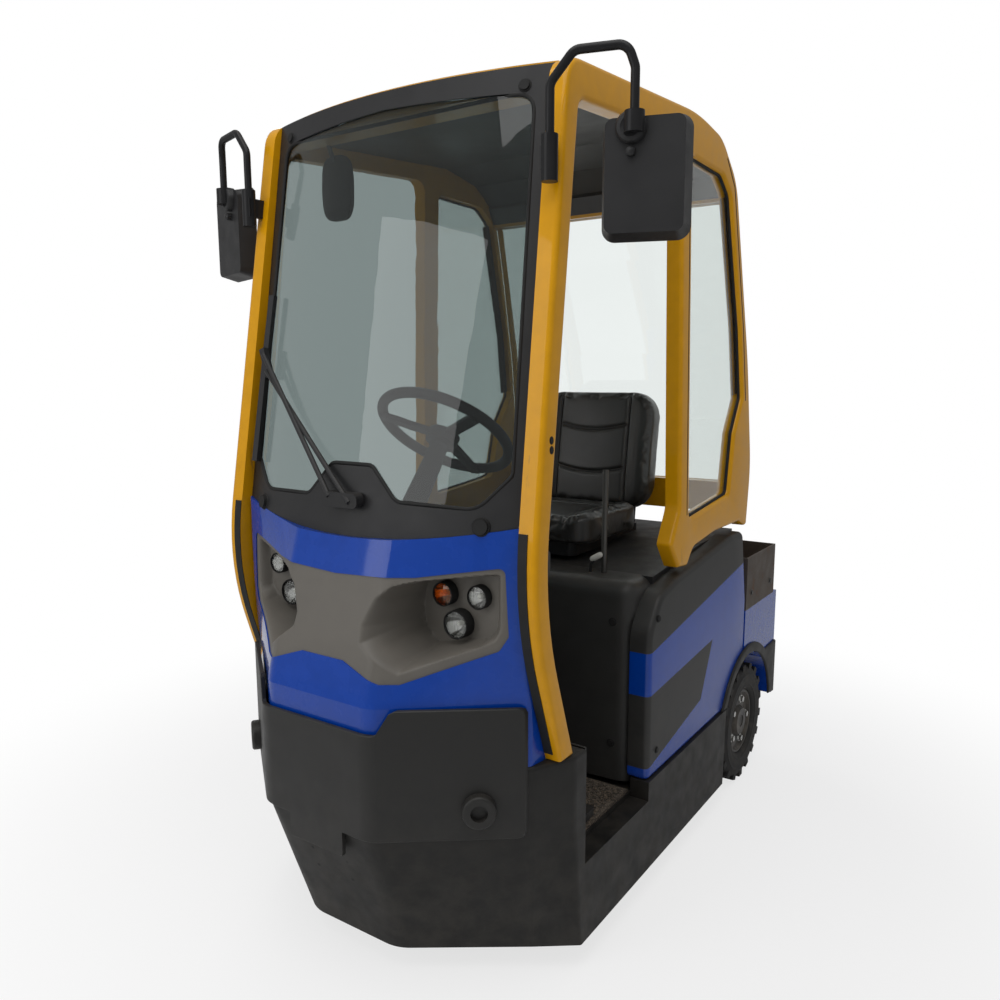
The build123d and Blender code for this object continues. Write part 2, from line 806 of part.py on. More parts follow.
COLUMN_RUN = Vector(*HAND_WHEEL_AT) - Vector(*COLUMN_FOOT)
COLUMN_DIR = COLUMN_RUN.normalized()
COLUMN_PLANE = Plane(origin=COLUMN_FOOT, x_dir=(1, 0, 0), z_dir=COLUMN_DIR)
COLUMN_LEN = COLUMN_RUN.length - 40.0
WHEEL_PLANE = Plane(origin=HAND_WHEEL_AT, x_dir=(1, 0, 0), z_dir=COLUMN_DIR)
HUB_R = 42.0
SHAFT_R = 10.0
with BuildPart() as steering_column:
    with BuildSketch(COLUMN_PLANE):
        Circle(34)
    extrude(amount=COLUMN_LEN, taper=2)
    add(dash.part, mode=Mode.SUBTRACT)
    column_keep = steering_column.solids().sort_by(Axis.Z)[-1]
with BuildPart() as steering_column:
    add(column_keep)
    with BuildSketch(WHEEL_PLANE.offset(-42)):
        Circle(SHAFT_R)
    extrude(amount=18)
save(steering_column, "steering_column")

RING_R = 14.0
with BuildPart() as steering_wheel:
    with BuildSketch(WHEEL_PLANE.offset(-34)):
        Circle(HUB_R)
    extrude(amount=30)
    with BuildSketch(Plane(origin=HAND_WHEEL_AT, x_dir=(1, 0, 0), z_dir=Vector(1, 0, 0).cross(COLUMN_DIR))):
        with Locations((HAND_WHEEL_R, 0)):
            Circle(RING_R)
    revolve(axis=Axis(HAND_WHEEL_AT, COLUMN_DIR))
    with BuildSketch(WHEEL_PLANE.offset(-18)):
        with PolarLocations(HAND_WHEEL_R / 2 + 12, 3, start_angle=90):
            Rectangle(HAND_WHEEL_R - 24, 30)
    extrude(amount=12)
    with BuildSketch(WHEEL_PLANE.offset(-40)):
        Circle(SHAFT_R + RUN)
    extrude(amount=22, mode=Mode.SUBTRACT)
save(steering_wheel, "steering_wheel")

with BuildPart() as pedals:
    with BuildSketch(Plane.XY.offset(FLOOR_Z + MAT_T)):
        with Locations((300, -470), (395, -470)):
            RectangleRounded(60, 120, 10)
    extrude(amount=22)
save(pedals, "pedals")

# Seat console, battery hood, battery, side covers
CONSOLE_X = HALF_W - COVER_T - FIT
with BuildPart() as seat_console:
    with BuildSketch(Plane.YZ.offset(-CONSOLE_X)) as console_side:
        with BuildLine():
            Polyline(
                (CONSOLE_Y + 12, FLOOR_Z),
                (BATTERY_Y[0] - 1, FLOOR_Z),
                (BATTERY_Y[0] - 1, 800),
                (BATTERY_Y[0] + 40, 822),
                (BATTERY_Y[0] + 40, 862),
                (-170, 862),
                (CONSOLE_Y, 790),
                (CONSOLE_Y, 420),
                close=True,
            )
        make_face()
    extrude(amount=2 * CONSOLE_X)
    with BuildSketch(Plane.XZ.offset(-BATTERY_Y[0] - 100)):
        with Locations((0, 880)):
            RectangleRounded(400, 160, 50)
    extrude(amount=400, both=True, mode=Mode.SUBTRACT)
save(seat_console, "seat_console")

with BuildPart() as battery_block:
    with BuildSketch(Plane.XY.offset(TRAY_Z + TRAY_T)):
        with Locations((0, (BATTERY_Y[0] + BATTERY_Y[1]) / 2)):
            Rectangle(2 * SILL_IN - 60, BATTERY_Y[1] - BATTERY_Y[0] - 2)
    extrude(amount=690)
save(battery_block, "battery_block")

with BuildPart() as battery_hood:
    with BuildSketch(Plane.YZ.offset(-CONSOLE_X)):
        with BuildLine():
            Polyline(
                (BATTERY_Y[0] + 41, 800),
                (BATTERY_Y[1] + 180, 800),
                (BATTERY_Y[1] + 180, 900),
                (250, 895),
                (BATTERY_Y[0] + 41, DECK_TOP_Z),
                close=True,
            )
        make_face()
    extrude(amount=2 * CONSOLE_X)
save(battery_hood, "battery_hood")

COVER_OUTLINE = [
    (COVER_FRONT_Y, SILL_Z),
    (COVER_FRONT_Y, 735),
    (-170, 825),
    (-60, 851),
    (389, 904),
    (490, 904),
    (BODY_FRONT_Y - 1, 660),
    (BODY_FRONT_Y - 1, 452),
    (471, 424),
    (407, 365),
    (383, SILL_Z),
]
with BuildPart() as side_covers:
    with BuildSketch(Plane.YZ.offset(HALF_W)):
        with BuildLine():
            FilletPolyline(*COVER_OUTLINE, radius=18, close=True)
        make_face()
    extrude(amount=-COVER_T)
    cover_face = side_covers.faces().sort_by(Axis.X)[-1]
    chamfer(cover_face.edges(), length=9)
    with BuildSketch(Plane.YZ.offset(HALF_W)):
        with Locations(Location((218, 772), 13)):
            SlotOverall(150, 20)
    extrude(amount=-26, mode=Mode.SUBTRACT)
    mirror(about=Plane.YZ)
    add(side_frames.part, mode=Mode.SUBTRACT)
save(side_covers, "side_covers")

# Seat: plinth with a sheet back support, cushion and back rest
BACK_LEAN = radians(8)
BACK_T = 70.0
BACK_PLANE = Plane(origin=(0, 300, 960), x_dir=(1, 0, 0), z_dir=(0, -cos(BACK_LEAN), sin(BACK_LEAN)))
with BuildPart() as seat_base:
    with BuildSketch(Plane.XY.offset(880)):
        with Locations((0, 150)):
            RectangleRounded(330, 460, 30)
    extrude(amount=40)
    with BuildSketch(BACK_PLANE.offset(-BACK_T - FIT)):
        with Locations((0, 60)):
            Rectangle(300, 280)
    extrude(amount=-8)
    add(battery_hood.part, mode=Mode.SUBTRACT)
save(seat_base, "seat_base")

with BuildPart() as seat_cushion:
    with BuildSketch(Plane.XY.offset(920 + FIT)):
        with Locations((0, 95)):
            RectangleRounded(460, 400, 70)
    extrude(amount=85)
    fillet(seat_cushion.faces().sort_by(Axis.Z)[-1].edges(), radius=30)
save(seat_cushion, "seat_cushion")

with BuildPart() as seat_back:
    with BuildSketch(BACK_PLANE):
        with Locations((0, 210)):
            RectangleRounded(470, 420, 90)
    extrude(amount=-BACK_T)
    fillet(seat_back.faces().sort_by(Axis.Y)[0].edges(), radius=25)
save(seat_back, "seat_back")

with BuildPart() as hand_lever:
    with BuildLine():
        FilletPolyline((300, -140, 862), (300, -140, 960), (290, -118, 1150), radius=40)
    with BuildSketch(Plane.XY.offset(862)):
        with Locations((300, -140)):
            Circle(8)
    sweep()
save(hand_lever, "hand_lever")

# Rear body with open wheel wells, arch trims, load bin and lamps
with BuildPart() as rear_body:
    with BuildSketch(Plane.YZ.offset(-BODY_HALF_W)):
        with BuildLine():
            Polyline(
                (BODY_FRONT_Y, 330),
                (TAIL_Y, 215),
                (TAIL_Y, BODY_TOP_Z),
                (BODY_FRONT_Y, BODY_TOP_Z),
                close=True,
            )
        make_face()
    extrude(amount=2 * BODY_HALF_W)
    with BuildSketch(Plane.XY.offset(330)):
        with Locations((0, (NECK_Y + BODY_FRONT_Y) / 2)):
            Rectangle(2 * NECK_X, BODY_FRONT_Y - NECK_Y)
    extrude(amount=BODY_TOP_Z - 330)
    with BuildSketch(Plane.YZ.offset(ARCH_X)):
        with Locations((REAR_AXLE_Y, TYRE_R)):
            Circle(ARCH_R)
    extrude(amount=300, mode=Mode.SUBTRACT)
    with BuildSketch(Plane.YZ.offset(-ARCH_X)):
        with Locations((REAR_AXLE_Y, TYRE_R)):
            Circle(ARCH_R)
    extrude(amount=-300, mode=Mode.SUBTRACT)
    with BuildSketch(Plane.XY):
        with Locations((0, (NECK_Y + TAIL_Y) / 2)):
            Rectangle(2 * NECK_X - 24, TAIL_Y - NECK_Y - 24)
    extrude(amount=BODY_TOP_Z - 14, mode=Mode.SUBTRACT)
save(rear_body, "rear_body")

with BuildPart() as load_bin:
    with BuildSketch(Plane.XY.offset(BODY_TOP_Z)):
        with Locations((0, (BIN_FRONT_Y + BIN_REAR_Y) / 2)):
            Rectangle(2 * BODY_HALF_W, BIN_REAR_Y - BIN_FRONT_Y)
    extrude(amount=BIN_TOP_Z - BODY_TOP_Z)
    with BuildSketch(Plane.XY.offset(BODY_TOP_Z + BIN_T)):
        with Locations((0, (BIN_FRONT_Y + BIN_REAR_Y) / 2)):
            Rectangle(2 * BODY_HALF_W - 2 * BIN_T, BIN_REAR_Y - BIN_FRONT_Y - 2 * BIN_T)
    extrude(amount=300, mode=Mode.SUBTRACT)
save(load_bin, "load_bin")

with BuildPart() as tail_lamps:
    with BuildSketch(Plane.XZ.offset(-TAIL_Y)):
        with Locations((410, 560), (-410, 560)):
            RectangleRounded(110, 60, 12)
    extrude(amount=-18)
save(tail_lamps, "tail_lamps")

with BuildPart() as tow_coupling:
    with BuildSketch(Plane.XZ.offset(-TAIL_Y)):
        with Locations((0, (JAW_Z[0] + JAW_Z[1]) / 2)):
            Rectangle(150, 190)
    extrude(amount=-14)
    for z in JAW_Z:
        with BuildSketch(Plane.XY.offset(z - JAW_T / 2)):
            with Locations((0, (TAIL_Y + COUPLING_Y) / 2)):
                Rectangle(100, COUPLING_Y - TAIL_Y)
            with Locations((0, COUPLING_Y - 28)):
                Circle(PIN_R + RUN, mode=Mode.SUBTRACT)
        extrude(amount=JAW_T)
save(tow_coupling, "tow_coupling")

with BuildPart() as coupling_pin:
    with BuildSketch(Plane.XY.offset(JAW_Z[0] - 22)):
        with Locations((0, COUPLING_Y - 28)):
            Circle(PIN_R)
    extrude(amount=JAW_Z[1] - JAW_Z[0] + 34)
    with BuildSketch(Plane.XY.offset(JAW_Z[1] + JAW_T / 2)):
        with Locations((0, COUPLING_Y - 28)):
            Circle(PIN_R + 9)
    extrude(amount=14)
save(coupling_pin, "coupling_pin")

# Wheels and axles


def wheel_pair(centre_x, centre_y, out_side):
    """Tyre and rim of one wheel about the X axis at its hub."""
    at = Plane(origin=(centre_x, centre_y, TYRE_R), x_dir=(0, 1, 0), z_dir=(out_side, 0, 0))
    axis = Axis((centre_x, centre_y, TYRE_R), (1, 0, 0))
    half = TYRE_W / 2
    radial = Plane(origin=(centre_x, centre_y, TYRE_R), x_dir=(out_side, 0, 0), z_dir=(0, -out_side, 0))
    base = TYRE_R - LUG_H
    with BuildPart(mode=Mode.PRIVATE) as tyre:
        with BuildSketch(radial):
            with BuildLine():
                Polyline(
                    (-half + 14, RIM_R + FIT),
                    (half - 14, RIM_R + FIT),
                    (half - 4, RIM_R + 26),
                    (half, base - 34),
                    (half - 10, base - 6),
                    (half - 24, base),
                    (-half + 24, base),
                    (-half + 10, base - 6),
                    (-half, base - 34),
                    (-half + 4, RIM_R + 26),
                    close=True,
                )
            make_face()
        revolve(axis=axis)
        for row, shift in ((1, 0.0), (-1, 0.5)):
            for index in range(LUG_COUNT):
                turn = 360.0 * (index + shift) / LUG_COUNT
                lug = Plane(
                    origin=(centre_x, centre_y, TYRE_R),
                    x_dir=(row * out_side, 0, 0),
                    z_dir=(0, sin(radians(turn)), cos(radians(turn))),
                )
                with BuildSketch(lug.offset(base - 30)):
                    with BuildLine():
                        Polyline((3, -5), (half - 6, -17), (half - 6, 9), (3, 13), close=True)
                    make_face()
                extrude(amount=30 + LUG_H)
    with BuildPart(mode=Mode.PRIVATE) as rim:
        with BuildSketch(radial):
            with BuildLine():
                Polyline(
                    (-half + 16, RIM_R),
                    (-half + 16, RIM_R - 10),
                    (half - 34, RIM_R - 16),
                    (half - 34, STUB_R + RUN),
                    (half - 10, STUB_R + RUN),
                    (half - 10, 46),
                    (half - 24, 56),
                    (half - 24, RIM_R - 18),
                    (half - 14, RIM_R - 10),
                    (half - 16, RIM_R),
                    close=True,
                )
            make_face()
        revolve(axis=axis)
        with BuildSketch(at.offset(half)):
            with PolarLocations(76, 5):
                Circle(9)
        extrude(amount=-60, mode=Mode.SUBTRACT)
    return tyre, rim


for label, side in (("left", 1), ("right", -1)):
    wheel_tyre, wheel_rim = wheel_pair(side * REAR_WHEEL_X, REAR_AXLE_Y, side)
    save(wheel_tyre, f"rear_tyre_{label}")
    save(wheel_rim, f"rear_rim_{label}")
front_tyre, front_rim = wheel_pair(0, FRONT_AXLE_Y, 1)
save(front_tyre, "front_tyre")
save(front_rim, "front_rim")

with BuildPart() as rear_axle:
    with BuildSketch(Plane.YZ.offset(-REAR_WHEEL_X - TYRE_W / 2 + 12)):
        with Locations((REAR_AXLE_Y, TYRE_R)):
            Circle(STUB_R)
    extrude(amount=2 * REAR_WHEEL_X + TYRE_W - 24)
    with BuildSketch(Plane.YZ.offset(-360)):
        with Locations((REAR_AXLE_Y, TYRE_R)):
            Circle(58)
    extrude(amount=720)
    with BuildSketch(Plane.YZ.offset(-150)):
        with Locations((REAR_AXLE_Y, TYRE_R + 10)):
            Circle(112)
    extrude(amount=300)
    with BuildSketch(Plane.XY.offset(TYRE_R)):
        with Locations((230, REAR_AXLE_Y + 25), (-230, REAR_AXLE_Y + 25)):
            Rectangle(24, 100)
    extrude(amount=BODY_TOP_Z - 14 - TYRE_R)
save(rear_axle, "rear_axle")

FORK_X = TYRE_W / 2 + 10
FORK_T = 16.0
with BuildPart() as steer_fork:
    with BuildSketch(Plane.XY.offset(DECK_Z - SKIRT_T - 6 - 24)):
        with Locations((0, FRONT_AXLE_Y)):
            Circle(95)
    extrude(amount=24)
    with BuildSketch(Plane.XY.offset(TYRE_R * 2 + 22)):
        with Locations((0, FRONT_AXLE_Y)):
            Rectangle(2 * FORK_X + 2 * FORK_T, 110)
    extrude(amount=DECK_Z - SKIRT_T - 6 - 24 - TYRE_R * 2 - 22)
    for side in (1, -1):
        with BuildSketch(Plane.YZ.offset(side * FORK_X)):
            with BuildLine():
                Polyline(
                    (FRONT_AXLE_Y - 32, TYRE_R - 32),
                    (FRONT_AXLE_Y + 32, TYRE_R - 32),
                    (FRONT_AXLE_Y + 55, TYRE_R * 2 + 30),
                    (FRONT_AXLE_Y - 55, TYRE_R * 2 + 30),
                    close=True,
                )
            make_face()
        extrude(amount=side * FORK_T)
    with BuildSketch(Plane.YZ.offset(-FORK_X)):
        with Locations((FRONT_AXLE_Y, TYRE_R)):
            Circle(STUB_R)
    extrude(amount=2 * FORK_X)
    with BuildSketch(Plane.XY.offset(DECK_Z - SKIRT_T - 6)):
        with Locations((0, FRONT_AXLE_Y)):
            Circle(KING_R)
    extrude(amount=SKIRT_T + 6)
save(steer_fork, "steer_fork")
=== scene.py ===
"""Looks of an electric tow tractor with an open-sided cab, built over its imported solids."""

import json
from functools import lru_cache
from math import cos, exp, pi, radians, sin, tan

import bmesh
import bpy
from mathutils import Matrix, Vector
from mathutils.bvhtree import BVHTree


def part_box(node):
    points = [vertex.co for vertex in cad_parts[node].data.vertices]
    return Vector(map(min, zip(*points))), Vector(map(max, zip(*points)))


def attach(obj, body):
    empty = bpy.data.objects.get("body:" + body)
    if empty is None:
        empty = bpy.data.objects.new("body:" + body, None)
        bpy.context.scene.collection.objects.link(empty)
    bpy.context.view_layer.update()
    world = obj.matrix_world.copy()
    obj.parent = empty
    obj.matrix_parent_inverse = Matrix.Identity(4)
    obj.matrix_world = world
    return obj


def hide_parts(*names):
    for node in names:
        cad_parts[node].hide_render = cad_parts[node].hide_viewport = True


bl_info = {
    "name": "Tow tractor finish",
    "version": (1, 0, 0),
    "blender": (4, 5, 0),
    "location": "View3D > Sidebar > Tow tractor",
    "description": "Dresses the packed tow tractor with paint, rubber, glass, seat pads and small fittings",
    "category": "Object",
}

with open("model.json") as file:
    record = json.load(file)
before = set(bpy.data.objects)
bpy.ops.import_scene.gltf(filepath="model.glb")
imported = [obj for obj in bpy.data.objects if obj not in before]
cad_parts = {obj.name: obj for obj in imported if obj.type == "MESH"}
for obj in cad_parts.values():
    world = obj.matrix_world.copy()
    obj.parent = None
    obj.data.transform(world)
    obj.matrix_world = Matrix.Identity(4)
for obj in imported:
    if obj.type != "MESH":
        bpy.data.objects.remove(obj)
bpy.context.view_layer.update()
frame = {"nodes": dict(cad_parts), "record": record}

SIDES = (1, -1)
WHITE = (1.0, 1.0, 1.0)
# Finishes by name
FINISHES = {}
# Finishes that differ from the node's own slot
NODE_FINISHES = {
    "seat_console": "console_plastic",
    "hand_lever": "worn_steel",
    "cross_members": "header",
    # The windscreen's glass is tinted far darker than the other panes, as painted shade of the cab seen
    # through it
    "windscreen": "screen_glass_shaded",
    "tail_lamps": "tail_red",
    # The skirt, sills, wheel housing and floor plate take the graphite darkened to half, as painted shade on
    # the low parts
    "front_skirt": "graphite_low",
    "side_sills": "graphite_low",
    "wheel_housing": "graphite_low",
    "floor_plate": "graphite_low",
}

# Wheels: name, body, tyre node, place across and along, and the outward side; all lengths in metres
FRONT_AXLE_Y = -0.640
REAR_AXLE_X = 0.435
REAR_AXLE_Y = 0.590
AXLE_Z = 0.205
WHEELS = [
    ("front", "front_wheel", "front_tyre", 0.0, FRONT_AXLE_Y, 1),
    ("rear_left", "rear_wheel_left", "rear_tyre_left", REAR_AXLE_X, REAR_AXLE_Y, 1),
    ("rear_right", "rear_wheel_right", "rear_tyre_right", -REAR_AXLE_X, REAR_AXLE_Y, -1),
]
# Tyre profile: distance in from the side wall with the radius, then with the depth below the tread
TYRE_WALL = [
    (0.0130, 0.1126), (0.0080, 0.1165), (0.0052, 0.1230), (0.0030, 0.1285), (0.0016, 0.1295),
    (0.0022, 0.1312), (0.0010, 0.1400), (0.0002, 0.1500), (0.0, 0.1560), (0.0010, 0.1660),
    (0.0, 0.1685), (0.0018, 0.1705),
]
TYRE_SHOULDER = [(0.0040, 0.0170), (0.0085, 0.0085), (0.0160, 0.0030), (0.0260, 0.0006)]
# Lug: corners across and round the tyre, and how deep its foot lies in the tread
LUG_INNER = 0.004
LUG_EDGE = 0.005
LUG_FOOT = 0.026
# Rims: section of the flange edge, and the nuts' count, circle, face and height
RIM_EDGE = [
    (0.0340, 0.1040), (0.0372, 0.1045), (0.0385, 0.1080), (0.0372, 0.1112), (0.0345, 0.1114),
    (0.0352, 0.1080),
]
NUTS = 5
NUT_CIRCLE = 0.076
NUT_FACE = 0.028
NUT_HEIGHT = 0.011
# Mat: fields by their middle across and along, width and length, and the height of a stud
MAT_FIELDS = [(0.342, -0.412, 0.160, 0.312), (-0.342, -0.412, 0.160, 0.312), (0.0, -0.318, 0.490, 0.126)]
STUD_HEIGHT = 0.003
SMALL_STUD = 0.55
# Lamps: place across, height, radius and depth of the body on the pocket floor, kind
LAMP_BED_Y = -0.752
LAMP_WALL = 0.0032
LAMPS = [
    (0.264, 0.862, 0.033, 0.030, "main"),
    (0.318, 0.930, 0.027, 0.022, "main"),
    (0.226, 0.926, 0.028, 0.026, "amber"),
]

# Corners below are two coordinates and a corner radius
# Left half of the windscreen glass in front view
GLASS_HALF = [
    (0.062, 1.205, 0.030), (0.136, 1.128, 0.040), (0.330, 1.122, 0.060), (0.398, 1.196, 0.030),
    (0.378, 1.992, 0.045),
]
GLASS_MIDDLE_Z = 1.6
# Side-view lines: seam in the middle pillar, groove of the rear pillar and dark border of its window
B_SEAM = [(0.014, 1.020), (0.014, 2.000)]
C_GROOVE = [(0.300, 2.040), (0.368, 1.970), (0.470, 1.560), (0.505, 1.330)]
C_BORDER = [(0.325, 1.935), (0.426, 1.560), (0.458, 1.350)]
# Rear quarter window in side view, and the depths of its pane inside the cab side
QUARTER = [
    (0.034, 1.006, 0.026), (0.362, 1.040, 0.026), (0.405, 1.229, 0.026), (0.480, 1.338, 0.026),
    (0.446, 1.560, 0.300), (0.342, 1.944, 0.050), (0.272, 1.990, 0.050), (0.034, 1.992, 0.026),
]
PANE_GAP = 0.0003
PANE_DEPTHS = (0.018, 0.024)
# Cab side frame in side view, its thickness, and the lean of its outer face
FRAME = [
    (-0.690, 0.562, 0.0), (-0.808, 0.922, 1.25), (-0.634, 2.052, 0.070), (0.075, 2.114, 0.90),
    (0.264, 2.092, 0.150), (0.394, 1.990, 0.170), (0.532, 1.450, 1.50), (0.578, 1.110, 0.42),
    (0.540, 0.912, 0.014), (0.470, 0.938, 0.030), (0.250, 0.938, 0.060), (0.070, 0.918, 0.060),
    (0.025, 0.872, 0.014), (-0.040, 0.878, 0.014), (-0.094, 0.950, 0.012), (-0.035, 1.044, 0.060),
    (-0.035, 2.022, 0.040), (-0.588, 1.976, 0.040), (-0.753, 0.922, 1.35), (-0.636, 0.562, 0.0),
]
FRAME_T = 0.045
FRAME_ROUND = 0.012
FRAME_FOOT_X = 0.490
FRAME_TOP_X = 0.457
FRAME_FOOT_Z = 0.570
FRAME_TOP_Z = 2.043
# Side cover in side view, its inner and outer face, and its rounding
COVER = [
    (-0.235, 0.325, 0.020), (-0.235, 0.735, 0.090), (-0.170, 0.825, 0.070), (-0.060, 0.851, 0.200),
    (0.389, 0.904, 0.060), (0.490, 0.904, 0.030), (0.544, 0.660, 0.040), (0.544, 0.452, 0.0),
    (0.471, 0.424, 0.060), (0.407, 0.365, 0.060), (0.383, 0.325, 0.0),
]
COVER_IN_X = 0.4302
COVER_OUT_X = 0.490
COVER_ROUND = 0.016
# Left half of the seat console in plan, its heights and its rounding
CONSOLE_HALF = [(0.174, -0.240, 0.300), (0.4345, -0.226, 0.055), (0.4345, -0.066, 0.0)]
CONSOLE_Z = (0.301, 0.8615)
CONSOLE_ROUND = 0.045
# Lamp insert: plan rows of the nose as height and the two bends, gap under the shell, bend length
NOSE_PLANS = [
    (0.700, 0.156, -0.953, 0.438, -0.741),
    (0.820, 0.152, -0.922, 0.436, -0.752),
    (0.930, 0.147, -0.890, 0.433, -0.758),
    (1.115, 0.136, -0.842, 0.429, -0.762),
]
INSERT_GAP = 0.0027
INSERT_BEND = 0.020
# Lamp insert in front view: outline of its left half, and the mouth and bed of the left scoop
INSERT_HALF = [
    (0.0, 0.966), (0.210, 0.976), (0.394, 1.006), (0.402, 0.856), (0.384, 0.824), (0.206, 0.750),
    (0.168, 0.750), (0.064, 0.786), (0.0, 0.786),
]
SCOOP_MOUTH = [
    (0.214, 0.968), (0.164, 0.955), (0.126, 0.926), (0.098, 0.866), (0.102, 0.826), (0.198, 0.768),
    (0.376, 0.842), (0.390, 0.870), (0.386, 0.994),
]
SCOOP_BED = [
    (0.186, 0.958), (0.168, 0.944), (0.158, 0.920), (0.156, 0.872), (0.162, 0.836), (0.196, 0.806),
    (0.340, 0.838), (0.362, 0.866), (0.366, 0.982),
]
# Grid of the insert: step, first column and level with their counts, margin past the outline, sheet
GRID = 0.003
GRID_X = (-0.411, 275)
GRID_Z = (0.744, 90)
INSERT_MARGIN = 0.010
INSERT_T = 0.003
# Flare over a rear wheel: radius and width of its band, faces, rounding, and its end at the tail
ARCH_R = 0.250
TRIM_W = 0.034
TRIM_X = (0.4906, 0.4985)
TRIM_ROUND = 0.006
TRIM_TAIL = [(0.900, 0.222), (0.900, 0.425)]
# Nose skirt: left half in plan at the foot and above the bend, heights, sheet, rounding and king pin hole
SKIRT_REAR_Y = -0.590
SKIRT_T = 0.012
SKIRT_ROUND = 0.010
SKIRT_Z = (0.070, 0.395, 0.548, 0.560)
SKIRT_CORNER_Y = -0.640
SKIRT_LOW = [
    (0.136, -0.8535, 0.110), (0.402, -0.672, 0.070), (0.495, -0.604, 0.010),
    (0.495, SKIRT_REAR_Y, 0.0),
]
SKIRT_UP = [
    (0.160, -0.957, 0.070), (0.445, -0.742, 0.050), (0.495, SKIRT_CORNER_Y, 0.040),
    (0.495, SKIRT_REAR_Y, 0.0),
]
KING_R = 0.0305
# Front plate: thickness, softened edge, half width, and its edges' heights by distance from the middle
PLATE_T = 0.010
PLATE_SOFT = 0.002
PLATE_HALF = 0.436
PLATE_TOP = [
    (0.0, 0.645), (0.172, 0.645), (0.180, 0.650), (0.202, 0.694), (0.212, 0.700), (0.424, 0.700),
    (0.432, 0.697), (PLATE_HALF, 0.688),
]
PLATE_LOW = [
    (0.0, 0.342), (0.076, 0.342), (0.082, 0.344), (0.084, 0.350), (0.0841, 0.400), (0.424, 0.400),
    (0.432, 0.403), (PLATE_HALF, 0.412),
]
# Seals: radii, and the seat of the quarter window's seal inside the cab side
QUARTER_SEAL_R = 0.0062
QUARTER_SEAL_IN = 0.0165
SCREEN_SEAL_R = 0.0045
# Strips at the front pillars: heights, and section as distance across and out from the pillar
STRIP_Z = (0.578, 1.085)
STRIP_STEPS = 24
STRIP_SECTION = [(0.0005, -0.0006), (0.0005, 0.0022), (0.0225, 0.0022), (0.0225, -0.0006)]
PILLAR_IN = 0.0448
# Fittings in the cab
CAB_MIRROR = Vector((-0.300, -0.530, 1.895))
CAB_MIRROR_HALF = (0.052, 0.082)
KNOB_PLACE = (0.262, -0.150, 1.2)
KNUCKLE_X = 0.601
KNUCKLE_Z = 1.883
# Seat: lean of the back, and pads by width, length, thickness, corner radius, seam half width and cross seams
BACK_ORIGIN = (0.0, 0.300, 0.960)
BACK_LEAN = radians(8)
CUSHION_PLACE = (0, 0.095, 0.9215)
BACK_PLACE = (0, 0.210, -0.0685)
CUSHION = {"w": 0.446, "l": 0.386, "t": 0.066, "r": 0.075, "seam": 0.135, "cross": (0.075,)}
BACK = {"w": 0.456, "l": 0.406, "t": 0.052, "r": 0.095, "seam": 0.130, "cross": (0.085, -0.060)}
PAD_VOXEL = 0.0055
PAD_SWELL = 0.010
PAD_BOLSTER = 0.013
PAD_CROWN = 0.007
SEAM_W = 0.0065
SEAM_DEPTH = 0.0075
CROSS_DEPTH = 0.006
CROSS_BOW = 0.020
SWELL_FRAMES = 20
# Views from which fittings are set: direction of sight and distance of the start from the middle
VIEWS = {
    "front": (Vector((0, 1, 0)), 1.3),
    "back": (Vector((0, -1, 0)), 1.3),
    "left": (Vector((-1, 0, 0)), 0.9),
    "right": (Vector((1, 0, 0)), 0.9),
}
# Studio lamps: name, place, aim, width, share of the key power
STUDIO_LAMPS = [
    ("overhead", (0.6, -1.6, 4.2), (0.0, -0.3, 1.0), 3.0, 1.0),
    ("front_fill", (-1.6, -4.2, 2.3), (0.0, -0.6, 0.8), 2.4, 0.60),
    ("rear_edge", (-3.0, 2.4, 3.2), (0.0, 0.2, 1.0), 2.0, 0.5),
]
CAMERA_SHIFT = (-0.01329, 0.00729)


# User settings


def colour_setting(name, description, value):
    """A colour that the user can set."""
    return bpy.props.FloatVectorProperty(
        name=name, description=description, default=value, subtype="COLOR", size=3, min=0, max=1,
    )


def length_setting(name, description, value, low, high):
    """A length in metres that the user can set."""
    return bpy.props.FloatProperty(
        name=name, description=description, default=value, min=low, max=high, unit="LENGTH",
    )


def angle_setting(name, description, degrees):
    """An angle that the user can set."""
    return bpy.props.FloatProperty(
        name=name, description=description, default=radians(degrees), subtype="ANGLE",
    )


def number_setting(name, description, value, low, high):
    """A plain number that the user can set."""
    return bpy.props.FloatProperty(name=name, description=description, default=value, min=low, max=high)


class TractorColours(bpy.types.PropertyGroup):
    """Colours of the tractor's finishes."""

    body: colour_setting("Body paint", "Gloss blue of the nose, covers and tail", (0.0, 0.046, 0.345))
    cab: colour_setting("Cab frame paint", "Amber yellow of the cab pillars and rails", (0.66, 0.31, 0.002))
    graphite: colour_setting("Graphite paint", "Dark grey of the plates and bands", (0.0190, 0.0188, 0.0180))
    lamp_panel: colour_setting("Lamp panel", "Warm grey of the lamp insert", (0.130, 0.120, 0.105))
    mat: colour_setting("Floor mat", "Dull brown of the studded mat", (0.060, 0.045, 0.032))
    bin: colour_setting("Load bin", "Brown grey of the worn steel bin", (0.085, 0.068, 0.055))
    rubber: colour_setting("Tyre rubber", "Dusty black of the tyres", (0.011, 0.0105, 0.010))


